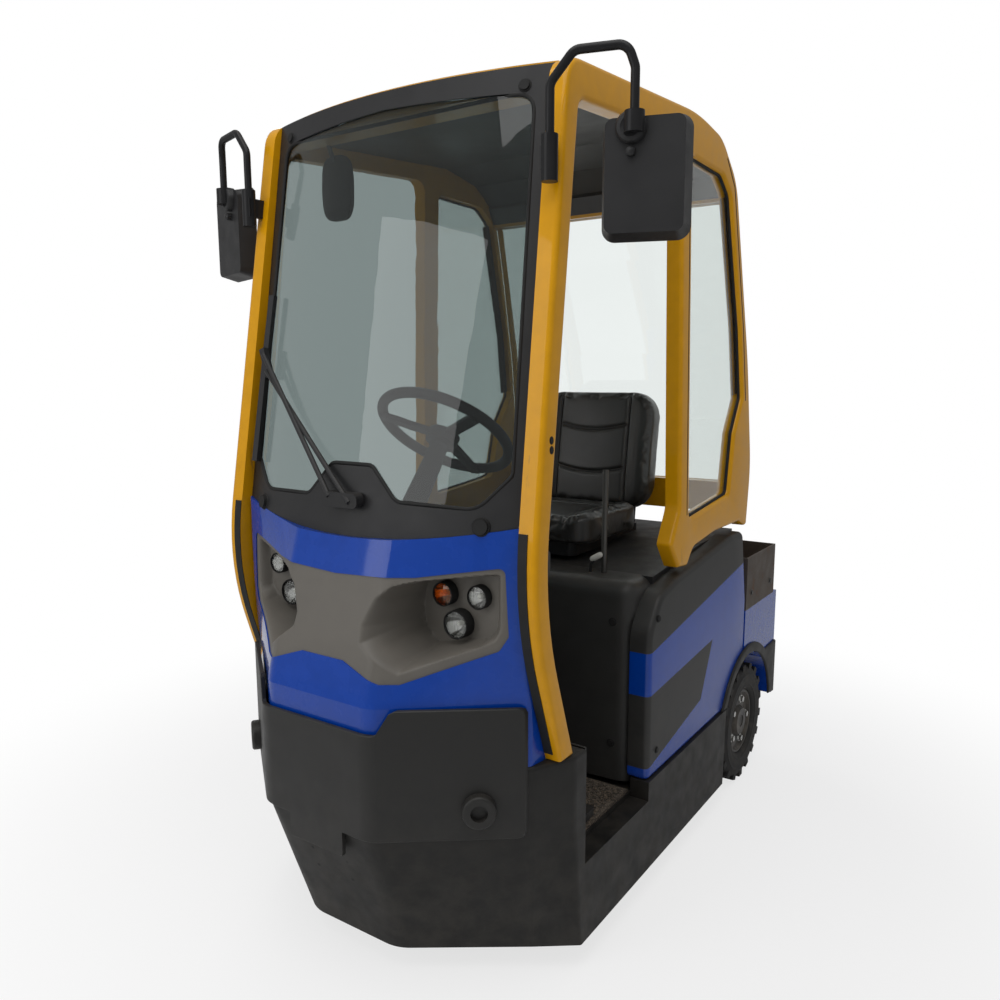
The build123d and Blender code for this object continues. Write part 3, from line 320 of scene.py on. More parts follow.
class TractorSizes(bpy.types.PropertyGroup):
    """Sizes of the small forms that repeat."""

    lug_count: bpy.props.IntProperty(
        name="Lugs", description="Number of lugs in each row of a tyre", default=18, min=6, max=40,
    )
    lug_depth: length_setting("Lug depth", "Height of the lugs above the tread", 0.007, 0.002, 0.02)
    tyre_radius: length_setting("Tyre radius", "Radius over the lugs", 0.205, 0.1, 0.5)
    tyre_width: length_setting("Tyre width", "Width over the side walls", 0.104, 0.05, 0.3)
    stud_pitch: length_setting("Stud pitch", "Distance between the mat's studs", 0.022, 0.008, 0.06)
    stud_radius: length_setting("Stud radius", "Radius of a stud of the mat", 0.007, 0.002, 0.02)
    nut_size: length_setting("Wheel nut radius", "Corner radius of a wheel nut", 0.0105, 0.004, 0.03)
    screw_size: length_setting("Screw radius", "Head radius of the panel screws", 0.0075, 0.002, 0.02)
    stitch_pitch: length_setting("Stitch pitch", "Distance between stitches on the seat", 0.009, 0.003, 0.03)


class TractorStage(bpy.types.PropertyGroup):
    """Camera and light of the studio."""

    camera_place: bpy.props.FloatVectorProperty(
        name="Camera", description="Place of the camera", default=(1.3619, -2.2041, 1.3999),
        subtype="XYZ", size=3,
    )
    camera_pitch: angle_setting("Camera pitch", "Angle of the view below the level", 8.6926)
    camera_yaw: angle_setting("Camera yaw", "Turn of the view to the left of straight back", 33.5313)
    lens: number_setting("Lens", "Focal length on a 36 mm sensor, in millimetres", 30.195, 10, 120)
    room_light: number_setting("Room light", "Strength of the even light of the room", 0.38, 0, 3)
    key_light: number_setting("Key light", "Power of the large overhead lamp in watts", 62.0, 0, 2000)


# Node helpers


class Sheet:
    """Nodes and links of one tree, with short ways to add to them."""

    def __init__(self, tree):
        self.nodes, self.links = tree.nodes, tree.links

    def feed(self, socket, value):
        """Link an output to a socket, or set the socket to a plain value."""
        if isinstance(value, bpy.types.NodeSocket):
            self.links.new(value, socket)
        elif socket.type == "RGBA":
            socket.default_value = (*value[:3], 1.0)
        else:
            socket.default_value = value

    def add(self, kind, inputs, **settings):
        """A node with its settings, and with links or values on its inputs."""
        node = self.nodes.new(kind)
        for key, value in settings.items():
            setattr(node, key, value)
        for key, value in inputs.items():
            self.feed(node.inputs[key], value)
        return node

    def math(self, operation, *values):
        """Result of a sum on links or numbers."""
        return self.add("ShaderNodeMath", dict(enumerate(values)), operation=operation).outputs[0]

    def mix(self, share, first, second):
        """Mix of two colours by a share."""
        return self.add("ShaderNodeMix", {0: share, 6: first, 7: second}, data_type="RGBA").outputs[2]

    def ramp(self, value, low, high):
        """A value spread smoothly from 0 at low to 1 at high."""
        inputs = {0: value, 1: low, 2: high}
        return self.add("ShaderNodeMapRange", inputs, interpolation_type="SMOOTHSTEP").outputs[0]

    def spread(self, value, low, high, start=0.25, end=0.75):
        """A number between low and high by a value between start and end."""
        return self.add("ShaderNodeMapRange", {0: value, 1: start, 2: end, 3: low, 4: high}).outputs[0]

    def noise(self, vector, scale, detail, rough):
        """Noise over the surface at a scale."""
        inputs = {"Vector": vector, "Scale": scale, "Detail": detail, "Roughness": rough}
        return self.add("ShaderNodeTexNoise", inputs).outputs["Fac"]

    def place(self):
        """Place in the object's own frame."""
        return self.nodes.new("ShaderNodeTexCoord").outputs["Object"]

    def split(self, vector):
        """The three parts of a vector."""
        return self.add("ShaderNodeSeparateXYZ", {0: vector}).outputs

    def facing(self, axis, low, high):
        """Mask of faces by how far they look along an axis."""
        normal = self.nodes.new("ShaderNodeNewGeometry").outputs["Normal"]
        return self.ramp(self.split(normal)[axis], low, high)

    def bump(self, height, strength, distance):
        """Normal of a surface that is raised by a height."""
        inputs = {"Height": height, "Strength": strength, "Distance": distance}
        return self.add("ShaderNodeBump", inputs).outputs["Normal"]

    def group(self, name, inputs):
        """Outputs of a group node with its own values."""
        return self.add("ShaderNodeGroup", inputs, node_tree=bpy.data.node_groups[name]).outputs

    def seen(self):
        """Mask of what the camera sees, straight or through glass."""
        path = self.nodes.new("ShaderNodeLightPath").outputs
        return self.math("MAXIMUM", path["Is Camera Ray"], path["Is Transmission Ray"])

    def surface(self, output, share, first, second):
        """End the tree with two shaders mixed by a share."""
        mix = self.add("ShaderNodeMixShader", {0: share, 1: first.outputs[0], 2: second.outputs[0]})
        self.feed(self.nodes[output].inputs["Surface"], mix.outputs[0])


class Finish(Sheet):
    """A fresh material with its shader."""

    def __init__(self, name):
        self.material = bpy.data.materials.new(name)
        self.material.use_nodes = True
        FINISHES[name] = self.material
        super().__init__(self.material.node_tree)
        self.shader = self.nodes["Principled BSDF"]

    def shade(self, inputs):
        """Feed the shader's inputs."""
        for key, value in inputs.items():
            self.feed(self.shader.inputs[key], value)

    def grain(self, scale, waves, strength, distance):
        """Grain bump on the shader; returns the grain's mottle."""
        grain = self.group("surface_grain", {"Scale": scale, "Waves": waves})
        self.shade({"Normal": self.bump(grain["Height"], strength, distance)})
        return grain["Mottle"]

    def tinted(self, share, colour, dark, light):
        """A colour between a darker and a lighter tone of itself."""
        return self.mix(share, [c * dark for c in colour], [min(1, c * light) for c in colour])

    def scuffed(self, tone, bare, amount, scale):
        """A tone scuffed down to a bare colour."""
        inputs = {"Colour": tone, "Bare": bare, "Amount": amount, "Scale": scale}
        return self.group("use_scuffs", inputs)["Colour"]

    def dusted(self, tone, top, low, reach=0.7):
        """Put a tone under settled dust on the shader."""
        inputs = {"Colour": tone, "On top": top, "Low down": low, "Reach": reach}
        self.shade({"Base Color": self.group("settled_dust", inputs)["Colour"]})

    def pass_light(self, tint):
        """Let light through with its tint in place of a dark shadow."""
        clear = self.add("ShaderNodeBsdfTransparent", {"Color": tint})
        shadow = self.nodes.new("ShaderNodeLightPath").outputs["Is Shadow Ray"]
        self.surface("Material Output", shadow, self.shader, clear)


class Group(Sheet):
    """A node group with named sockets."""

    def __init__(self, name, kind, inputs, outputs):
        self.tree = bpy.data.node_groups.new(name, kind)
        for label, socket, value in inputs:
            item = self.tree.interface.new_socket(label, in_out="INPUT", socket_type=f"NodeSocket{socket}")
            if value is not None:
                item.default_value = value
        for label, socket in outputs:
            self.tree.interface.new_socket(label, in_out="OUTPUT", socket_type=f"NodeSocket{socket}")
        super().__init__(self.tree)
        self.given = self.nodes.new("NodeGroupInput").outputs
        self.result = self.nodes.new("NodeGroupOutput").inputs


def grain_group():
    """Fine moulded or sprayed grain, as a height and a colour shift."""
    inputs = [("Scale", "Float", 900.0), ("Waves", "Float", 30.0)]
    group = Group("surface_grain", "ShaderNodeTree", inputs, [("Height", "Float"), ("Mottle", "Float")])
    place = group.place()
    group.feed(group.result["Height"], group.noise(place, group.given["Scale"], 3.0, 0.5))
    group.feed(group.result["Mottle"], group.noise(place, group.given["Waves"], 2.0, 0.5))


def dust_group():
    """Dust that lies on faces that look up and gathers low on the machine."""
    inputs = [
        ("Colour", "Color", (0.1, 0.1, 0.1, 1.0)),
        ("Dust", "Color", (0.22, 0.19, 0.155, 1.0)),
        ("On top", "Float", 0.2),
        ("Low down", "Float", 0.3),
        ("Reach", "Float", 0.5),
    ]
    group = Group("settled_dust", "ShaderNodeTree", inputs, [("Colour", "Color")])
    given = group.given
    place = group.place()
    top = group.math("MULTIPLY", group.facing("Z", 0.35, 0.95), given["On top"])
    height = group.math("DIVIDE", group.split(place)["Z"], given["Reach"])
    low = group.math("MULTIPLY", group.ramp(height, 1.0, 0.0), given["Low down"])
    cloud = group.ramp(group.noise(place, 14.0, 6.0, 0.65), 0.30, 0.70)
    share = group.math("MULTIPLY", group.math("MAXIMUM", top, low), cloud)
    group.feed(group.result["Colour"], group.mix(share, given["Colour"], given["Dust"]))


def scuff_group():
    """Short scratches and rubbed spots from use."""
    inputs = [
        ("Colour", "Color", (0.1, 0.1, 0.1, 1.0)),
        ("Bare", "Color", (0.3, 0.3, 0.3, 1.0)),
        ("Amount", "Float", 0.3),
        ("Scale", "Float", 20.0),
    ]
    group = Group("use_scuffs", "ShaderNodeTree", inputs, [("Colour", "Color")])
    given = group.given
    place = group.place()
    stretch = {"Vector": place, "Scale": (1.0, 1.0, 0.16), "Rotation": (0.5, 0.35, 0.2)}
    streak = group.noise(group.add("ShaderNodeMapping", stretch).outputs[0], given["Scale"], 6.0, 0.7)
    patch = group.ramp(group.noise(place, 3.0, 2.0, 0.5), 0.45, 0.65)
    mask = group.math("MULTIPLY", group.ramp(streak, 0.63, 0.70), patch)
    mask = group.math("MULTIPLY", mask, given["Amount"])
    group.feed(group.result["Colour"], group.mix(mask, given["Colour"], given["Bare"]))


# Finishes


def painted(name, colour, rough, coat, bare, scuffs, dust_top, dust_low):
    """Sprayed paint with orange peel, scuffs and dust."""
    paint = Finish(name)
    mottle = paint.grain(1400.0, 26.0, 0.05, 0.0006)
    tone = paint.tinted(mottle, colour, 0.90, 1.10)
    paint.dusted(paint.scuffed(tone, bare, scuffs, 24.0), dust_top, dust_low)
    paint.shade({
        "Roughness": paint.spread(mottle, *rough),
        "Specular IOR Level": 0.10,
        "Coat Weight": coat,
        "Coat IOR": 1.38,
        "Coat Roughness": 0.04,
    })


def moulded(name, colour, rough, grain, bump, dust_top, dust_low, shift=0.10):
    """Moulded plastic or rubber with a leathery grain and dust."""
    paint = Finish(name)
    mottle = paint.grain(grain, 18.0, bump, 0.0008)
    paint.dusted(paint.tinted(mottle, colour, 1 - shift, 1 + shift), dust_top, dust_low)
    paint.shade({"Roughness": paint.spread(mottle, *rough), "Specular IOR Level": 0.34})


def metal(name, colour, rough, stretch, bump):
    """Bare or plated metal with drawn streaks."""
    paint = Finish(name)
    drawn = paint.add("ShaderNodeMapping", {"Vector": paint.place(), "Scale": stretch})
    streak = paint.noise(drawn.outputs[0], 60.0, 5.0, 0.6)
    paint.shade({
        "Base Color": paint.tinted(streak, colour, 0.82, 1.0),
        "Roughness": paint.spread(streak, *rough),
        "Normal": paint.bump(streak, bump, 0.0003),
        "Metallic": 1.0,
    })


def pane(name, tint, smear):
    """Clear sheet that lets light pass, with faint wiped smears."""
    paint = Finish(name)
    wipe = paint.noise(paint.place(), 9.0, 5.0, 0.6)
    paint.shade({
        "Base Color": tint,
        "Roughness": paint.spread(wipe, 0.0, smear),
        "Transmission Weight": 1.0,
        "IOR": 1.45,
    })
    paint.pass_light(tint)


def lens(name, tint, rough):
    """Fluted lamp glass of one colour."""
    paint = Finish(name)
    flutes = paint.add("ShaderNodeTexWave", {"Vector": paint.place(), "Scale": 42.0}).outputs["Fac"]
    paint.shade({
        "Base Color": tint,
        "Roughness": rough,
        "Normal": paint.bump(flutes, 0.18, 0.001),
        "Transmission Weight": 1.0,
    })
    paint.pass_light(tint)


def cover_paint(name, body, graphite):
    """Side cover paint: graphite top band, blue field and a graphite stripe."""
    paint = Finish(name)
    parts = paint.split(paint.place())
    along, height = parts["Y"], parts["Z"]

    def line(base, first, second):
        """Line over a base through two points."""
        slope = (second[1] - first[1]) / (second[0] - first[0])
        return paint.math("MULTIPLY_ADD", base, slope, first[1] - slope * first[0])

    def past(value, limit):
        """Mask of where a value lies past a limit."""
        return paint.ramp(paint.math("SUBTRACT", value, limit), -0.0012, 0.0012)

    band = past(height, line(along, (-0.165, 0.692), (0.433, 0.784)))
    under = past(line(along, (-0.209, 0.565), (0.232, 0.601)), height)
    over = past(height, line(along, (-0.228, 0.360), (0.146, 0.434)))
    ahead = past(line(height, (0.601, 0.232), (0.434, 0.146)), along)
    stripe = paint.math("MULTIPLY", paint.math("MULTIPLY", under, over), ahead)
    mask = paint.math("MAXIMUM", band, stripe)
    mottle = paint.grain(1200.0, 22.0, 0.06, 0.0006)
    tone = paint.mix(mask, paint.tinted(mottle, body, 0.9, 1.1), paint.tinted(mottle, graphite, 0.9, 1.25))
    paint.dusted(paint.scuffed(tone, (0.16, 0.16, 0.17), 0.25, 26.0), 0.10, 0.14)
    paint.shade({"Roughness": paint.spread(mask, 0.24, 0.52, 0.0, 1.0)})


def mat_rubber(name, colour):
    """Speckled brown rubber granulate of the floor mat."""
    paint = Finish(name)
    chips = paint.add("ShaderNodeTexVoronoi", {"Vector": paint.place(), "Scale": 260.0})
    speck = paint.add("ShaderNodeSeparateColor", {0: chips.outputs["Color"]}).outputs[0]
    paint.dusted(paint.tinted(paint.ramp(speck, 0.62, 0.75), colour, 0.55, 2.3), 0.35, 0.2, 0.6)
    paint.grain(500.0, 20.0, 0.35, 0.001)
    paint.shade({"Roughness": 0.8})


def bin_steel(name, colour):
    """Rolled steel of the load bin with rust blooms and rubbed streaks."""
    paint = Finish(name)
    bloom = paint.noise(paint.place(), 11.0, 8.0, 0.7)
    rust = paint.math("MULTIPLY", paint.ramp(bloom, 0.52, 0.68), 0.55)
    steel = paint.tinted(paint.grain(420.0, 9.0, 0.15, 0.0008), colour, 0.8, 1.25)
    tone = paint.mix(rust, steel, (0.16, 0.065, 0.028))
    paint.shade({
        "Base Color": paint.scuffed(tone, (0.30, 0.27, 0.24), 0.6, 16.0),
        "Roughness": paint.spread(bloom, 0.42, 0.8),
        "Metallic": 0.35,
    })


def roof_sheet(name):
    """Milky roof sheet with a dark lining on its lower side."""
    paint = Finish(name)
    haze = paint.noise(paint.place(), 6.0, 5.0, 0.6)
    sheet = paint.mix(haze, (0.50, 0.52, 0.50), (0.66, 0.68, 0.65))
    lining = paint.mix(haze, (0.030, 0.028, 0.025), (0.045, 0.042, 0.038))
    paint.shade({
        "Base Color": paint.mix(paint.facing("Z", 0.1, -0.1), sheet, lining),
        "Roughness": paint.spread(haze, 0.40, 0.60),
    })


def header_paint(name, colour):
    """Frame paint of the cross members, lined dark where they face the driver."""
    paint = Finish(name)
    mottle = paint.grain(1400.0, 26.0, 0.05, 0.0006)
    place = paint.split(paint.place())
    inside = paint.math("MULTIPLY", paint.facing("Y", -0.2, -0.4), paint.ramp(place["Y"], 0.0, 0.1))
    inside = paint.math("MULTIPLY", inside, paint.ramp(place["Z"], 1.940, 1.942))
    paint.shade({
        "Base Color": paint.mix(inside, paint.tinted(mottle, colour, 0.9, 1.1), (0.034, 0.032, 0.029)),
        "Roughness": paint.spread(mottle, 0.28, 0.42),
        "Specular IOR Level": 0.25,
        "Coat Weight": 0.4,
    })


def tyre_rubber(name, colour):
    """Tyre rubber, dusty on the lugs and side walls."""
    paint = Finish(name)
    cloud = paint.noise(paint.place(), 24.0, 6.0, 0.65)
    dusty = paint.math("MULTIPLY", paint.ramp(cloud, 0.42, 0.75), 0.45)
    paint.grain(650.0, 40.0, 0.25, 0.0008)
    paint.shade({
        "Base Color": paint.mix(dusty, colour, (0.085, 0.075, 0.064)),
        "Roughness": paint.spread(cloud, 0.62, 0.88),
    })


def seat_vinyl(name):
    """Black seat vinyl with a fine leather cell grain and rubbed sheen."""
    paint = Finish(name)
    place = paint.place()
    cells = paint.add("ShaderNodeTexVoronoi", {"Vector": place, "Scale": 420.0}, feature="DISTANCE_TO_EDGE")
    rub = paint.noise(place, 7.0, 4.0, 0.55)
    paint.shade({
        "Base Color": paint.mix(rub, (0.018, 0.0178, 0.0172), (0.032, 0.0315, 0.030)),
        "Roughness": paint.spread(rub, 0.26, 0.42),
        "Normal": paint.bump(cells.outputs["Distance"], 0.28, 0.0007),
    })


# Mesh helpers


def add_piece(name, mesh, finish, body="chassis"):
    """A piece at the origin that rides on a body; without a finish the mesh keeps its own."""
    piece = bpy.data.objects.new(name, mesh)
    bpy.context.scene.collection.objects.link(piece)
    if finish:
        mesh.materials.clear()
        mesh.materials.append(FINISHES[finish])
    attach(piece, body)
    return piece


def mesh_from(name, bm, angle):
    """A clean mesh with outward faces, smooth up to an angle in degrees."""
    bmesh.ops.remove_doubles(bm, verts=bm.verts, dist=1e-6)
    bmesh.ops.recalc_face_normals(bm, faces=bm.faces)
    mesh = bpy.data.meshes.new(name)
    bm.to_mesh(mesh)
    bm.free()
    mesh.polygons.foreach_set("use_smooth", [angle > 0] * len(mesh.polygons))
    if angle > 0:
        mesh.set_sharp_from_angle(angle=radians(angle))
    return mesh


def add_form(bm, other):
    """Add one bmesh to another."""
    mesh = bpy.data.meshes.new("form")
    bmesh.ops.recalc_face_normals(other, faces=other.faces)
    other.to_mesh(mesh)
    other.free()
    bm.from_mesh(mesh)
    bpy.data.meshes.remove(mesh)


def ring_pairs(items):
    """Each item of a closed ring with the one after it."""
    return list(zip(items, items[1:] + items[:1]))


def bridge(bm, rings, closed):
    """Faces between closed rings of vertices, and from the last ring to the first where closed."""
    for first, second in ring_pairs(rings) if closed else zip(rings, rings[1:]):
        for (a, b), (c, d) in zip(ring_pairs(first), ring_pairs(second)):
            bm.faces.new((a, b, d, c))


def capped(bm, rows):
    """Closed form through rows of points; returns the face on its last row."""
    rings = [[bm.verts.new(point) for point in row] for row in rows]
    bridge(bm, rings, False)
    bm.faces.new(rings[0])
    return bm.faces.new(rings[-1])


def turns(count):
    """Even angles of a full turn."""
    return [2 * pi * k / count for k in range(count)]


def turned(profile, count, place):
    """Closed form turned about a place's own Z axis from (along, radius) points."""
    bm = bmesh.new()
    rings = [
        [bm.verts.new(place @ Vector((r * cos(a), r * sin(a), along))) for along, r in profile]
        for a in turns(count)
    ]
    bridge(bm, rings, True)
    bmesh.ops.remove_doubles(bm, verts=bm.verts, dist=1e-6)
    bmesh.ops.dissolve_degenerate(bm, dist=1e-7, edges=bm.edges)
    return bm


def tube(points, radius, sides, closed):
    """Round tube along points, with caps where it is open."""
    bm = bmesh.new()
    rows = []
    count = len(points)
    side = None
    for index, point in enumerate(points):
        last = points[index - 1] if closed or index > 0 else point
        following = points[(index + 1) % count] if closed or index < count - 1 else point
        run = (following - last).normalized()
        if side is None:
            side = run.orthogonal().normalized()
        side = (side - run * side.dot(run)).normalized()
        other = run.cross(side)
        rows.append([point + side * radius * cos(a) + other * radius * sin(a) for a in turns(sides)])
    if closed:
        bridge(bm, [[bm.verts.new(point) for point in row] for row in rows], True)
    else:
        capped(bm, rows)
    return bm


def mirrored(corners):
    """Corners of a left half and then those of its mirror image."""
    return corners + [(-x, *rest) for x, *rest in reversed(corners)]


def rounded_loop(corners, steps):
    """Closed loop of points round corners with their radii."""
    points = []
    for last, corner, following in zip(corners[-1:] + corners[:-1], corners, corners[1:] + corners[:1]):
        here = Vector(corner[:2])
        to_last = Vector(last[:2]) - here
        to_next = Vector(following[:2]) - here
        cut = corner[2] / max(0.05, abs(tan(to_last.angle(to_next) / 2)))
        reach = min(cut, to_last.length * 0.45, to_next.length * 0.45)
        start = here + to_last.normalized() * reach
        end = here + to_next.normalized() * reach
        for step in range(steps + 1):
            share = step / steps
            points.append(start.lerp(here, share).lerp(here.lerp(end, share), share))
    return points


def anticlockwise(loop):
    """The loop, turned round where it runs clockwise."""
    area = sum(a.x * b.y - b.x * a.y for a, b in ring_pairs(loop))
    return loop if area > 0 else loop[::-1]


def clean_loop(corners, steps):
    """Rounded loop without repeated points, running anticlockwise."""
    loop = []
    for point in rounded_loop(corners, steps):
        if not loop or (point - loop[-1]).length > 1e-4:
            loop.append(point)
    if (loop[0] - loop[-1]).length < 1e-4:
        loop.pop()
    return anticlockwise(loop)


def drawn_in(loop, distance):
    """Anticlockwise loop moved inwards by a distance."""
    moved = []
    for last, here, following in zip(loop[-1:] + loop[:-1], loop, loop[1:] + loop[:1]):
        first = (here - last).normalized()
        second = (following - here).normalized()
        inward = Vector((-first.y - second.y, first.x + second.x)).normalized()
        moved.append(here + inward * (distance / max(0.4, inward.dot(Vector((-first.y, first.x))))))
    return moved


def rounded_edge(radius, depth, steps):
    """Profile of a sheet with a rounded front edge and a plain back."""
    quarter = [pi / 2 * k / steps for k in range(steps + 1)]
    return [(radius * (1 - sin(a)), radius * (1 - cos(a))) for a in quarter] + [(0.0, depth)]


def slab(bm, outer, holes, profile, place):
    """Sheet between loops: the profile gives how far each ring is drawn in and its depth."""
    loops = [(outer, 1)] + [(hole, -1) for hole in holes]

    def ring(loop, sign, inset, depth):
        """Vertices of a loop that is drawn in, at a depth."""
        return [bm.verts.new(place(point.x, point.y, depth)) for point in drawn_in(loop, inset * sign)]

    for inset, depth in (profile[0], profile[-1]):
        edges = []
        for loop, sign in loops:
            edges += [bm.edges.new(pair) for pair in ring_pairs(ring(loop, sign, inset, depth))]
        bmesh.ops.triangle_fill(bm, use_beauty=True, edges=edges)
    for loop, sign in loops:
        bridge(bm, [ring(loop, sign, inset, depth) for inset, depth in profile], False)


def side_place(side, face):
    """Way to place side-view points at a depth inside a side whose outer face goes by height."""
    return lambda y, z, depth: Vector((side * (face(z) - depth), y, z))


def top_place(top):
    """Way to place plan points at a depth below a level top."""
    return lambda x, y, depth: Vector((x, y, top - depth))


def frame_x(z):
    """Outer face of the left cab side at a height."""
    return FRAME_FOOT_X + (FRAME_TOP_X - FRAME_FOOT_X) * (z - FRAME_FOOT_Z) / (FRAME_TOP_Z - FRAME_FOOT_Z)


def evaluated_mesh(holder):
    """Plain mesh of an object with its modifiers applied."""
    depsgraph = bpy.context.evaluated_depsgraph_get()
    return bpy.data.meshes.new_from_object(holder.evaluated_get(depsgraph), depsgraph=depsgraph)


def tree_of(mesh):
    """Ray target of a mesh."""
    return BVHTree.FromPolygons([v.co for v in mesh.vertices], [tuple(f.vertices) for f in mesh.polygons])


@lru_cache(maxsize=None)
def node_tree(node):
    """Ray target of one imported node, or of the piece that stands for it."""
    skin = bpy.data.objects.get(f"{node}_skin")
    return tree_of(skin.data if skin else frame["nodes"][node].data)


def seat_on(node, start, direction):
    """Point and outward normal where a line from start meets a node."""
    point, normal, _, _ = node_tree(node).ray_cast(Vector(start), Vector(direction).normalized())
    if point is None:
        raise ValueError(f"nothing of {node} lies ahead of {start}")
    if normal.dot(Vector(direction)) > 0:
        normal = -normal
    return point, normal


# Bodywork


def flare_loop():
    """Side-view loop of the flare over a rear wheel, out to the tail."""
    hub = Vector((REAR_AXLE_Y, AXLE_Z))

    def arc(radius, degrees):
        """Points round the hub."""
        return [hub + Vector((cos(radians(a)), sin(radians(a)))) * radius for a in degrees]

    tail = [Vector(point) for point in TRIM_TAIL]
    return anticlockwise(arc(ARCH_R, range(150, 3, -4)) + tail + arc(ARCH_R + TRIM_W, range(50, 155, 4)))


def nose_loop(corners):
    """Closed plan loop of the nose from the corners of its left half."""
    return clean_loop(mirrored(corners), 10)


def skirt_mesh():
    """Bent nose skirt, open behind and below, with a closed deck round the king pin."""
    bm = bmesh.new()
    low, up = nose_loop(SKIRT_LOW), nose_loop(SKIRT_UP)
    foot, bend, head, deck = SKIRT_Z

    def at_rear(point):
        """Whether a plan point lies on the open rear edge."""
        return point.y > SKIRT_REAR_Y - 0.001

    rows = []
    for loop, z in ((low, foot), (up, bend), (up, head)):
        inner = [
            Vector((p.x, max(q.y, p.y)) if at_rear(q) else p) for p, q in zip(drawn_in(loop, SKIRT_T), loop)
        ]
        rows.append([[bm.verts.new((p.x, p.y, z)) for p in line] for line in (loop, inner)])
    levels = list(zip(rows, rows[1:]))
    for k, (here, following) in enumerate(ring_pairs(low)):
        after = (k + 1) % len(low)
        if at_rear(here) and at_rear(following) and here.x * following.x < 0:
            for (first_out, first_in), (second_out, second_in) in levels:
                for end in (k, after):
                    bm.faces.new((first_out[end], first_in[end], second_in[end], second_out[end]))
            continue
        for lower, upper in levels:
            for first, second in zip(lower, upper):
                bm.faces.new((first[k], first[after], second[after], second[k]))
        for outside, inside in (rows[0], rows[-1]):
            bm.faces.new((outside[k], outside[after], inside[after], inside[k]))
    pin = [Vector((0.0, FRONT_AXLE_Y)) + Vector((cos(a), sin(a))) * KING_R for a in turns(32)]
    slab(bm, up, [pin], rounded_edge(SKIRT_ROUND, deck - head, 4), top_place(deck))
    return mesh_from("front_skirt", bm, 30)


def on_line(line, x):
    """Value at x of a line of (x, value) points."""
    for (first_x, first), (second_x, second) in zip(line, line[1:]):
        if first_x <= x <= second_x and second_x > first_x:
            return first + (second - first) * (x - first_x) / (second_x - first_x)
    return line[0][1] if x < line[0][0] else line[-1][1]


def plate_mesh():
    """Thick sheet bent over the skirt, with a tab below and a tongue cut into its top."""
    inner = [point for point in nose_loop(SKIRT_UP) if point.y < SKIRT_CORNER_Y]
    inner.sort(key=lambda point: point.x)
    outer = []
    for index, here in enumerate(inner):
        run = (inner[min(index + 1, len(inner) - 1)] - inner[max(index - 1, 0)]).normalized()
        outer.append(here + Vector((run.y, -run.x)) * PLATE_T)
    stops = {x for x, _ in PLATE_TOP + PLATE_LOW} | {abs(p.x) for p in inner if abs(p.x) < PLATE_HALF}
    rows = []
    for x in sorted(stops | {-x for x in stops if x > 0}):
        top, low = on_line(PLATE_TOP, abs(x)), on_line(PLATE_LOW, abs(x))
        back, front = on_line(inner, x), on_line(outer, x)
        rows.append([
            (x, back, low), (x, front + PLATE_SOFT, low), (x, front, low + PLATE_SOFT),
            (x, front, top - PLATE_SOFT), (x, front + PLATE_SOFT, top), (x, back, top),
        ])
    bm = bmesh.new()
    capped(bm, rows)
    return mesh_from("front_plate", bm, 30)


def edge_distance(point, outline):
    """Distance from a point to a closed outline, and whether the point lies inside."""
    nearest = 1e9
    inside = False
    for (ax, ay), (bx, by) in ring_pairs(outline):
        run = Vector((bx - ax, by - ay))
        share = max(0.0, min(1.0, (point - Vector((ax, ay))).dot(run) / run.length_squared))
        nearest = min(nearest, (point - Vector((ax, ay)) - run * share).length)
        if (ay > point.y) != (by > point.y) and point.x < ax + (point.y - ay) / (by - ay) * (bx - ax):
            inside = not inside
    return nearest, inside


def nose_y(x, z):
    """Face of the lamp insert across and up the nose."""
    low, high = next(pair for pair in zip(NOSE_PLANS, NOSE_PLANS[1:]) if z <= pair[1][0])
    share = (z - low[0]) / (high[0] - low[0])
    x1, y1, x2, y2 = (a + (b - a) * share for a, b in zip(low[1:], high[1:]))
    slope = (y2 - y1) / (x2 - x1)
    past = x - x1
    rise = slope * max(0.0, past)
    if abs(past) < INSERT_BEND:
        rise = slope * (past + INSERT_BEND) ** 2 / (4 * INSERT_BEND)
    return y1 + rise + INSERT_GAP * (1 + (slope if past > 0 else 0.0) ** 2) ** 0.5


def insert_mesh():
    """Grey lamp insert with a deep scoop for three lamps on each side."""
    bm = bmesh.new()
    columns, levels = ([start + GRID * k for k in range(count)] for start, count in (GRID_X, GRID_Z))
    outline = INSERT_HALF + [(-x, z) for x, z in reversed(INSERT_HALF[1:-1])]
    verts = {}
    for i, x in enumerate(columns):
        for j, z in enumerate(levels):
            away, inside = edge_distance(Vector((x, z)), outline)
            if not inside and away > INSERT_MARGIN:
                continue
            point = Vector((abs(x), z))
            y = nose_y(abs(x), z)
            to_mouth, in_mouth = edge_distance(point, SCOOP_MOUTH)
            if in_mouth:
                to_bed, in_bed = edge_distance(point, SCOOP_BED)
                share = 1.0 if in_bed else to_mouth / (to_mouth + to_bed)
                y += (LAMP_BED_Y - y) * share * share * (2.2 - 1.2 * share)
            verts[i, j] = bm.verts.new((x, y, z))
    for i, j in list(verts):
        corners = [(i, j), (i + 1, j), (i + 1, j + 1), (i, j + 1)]
        if all(corner in verts for corner in corners):
            bm.faces.new([verts[corner] for corner in corners])
    bmesh.ops.delete(bm, geom=[v for v in bm.verts if not v.link_faces], context="VERTS")
    bmesh.ops.recalc_face_normals(bm, faces=bm.faces)
    if sum(f.normal.y for f in bm.faces) > 0:
        bmesh.ops.reverse_faces(bm, faces=bm.faces)
    bmesh.ops.solidify(bm, geom=bm.faces[:], thickness=INSERT_T)
    return mesh_from("lamp_insert", bm, 40)


# Wheels


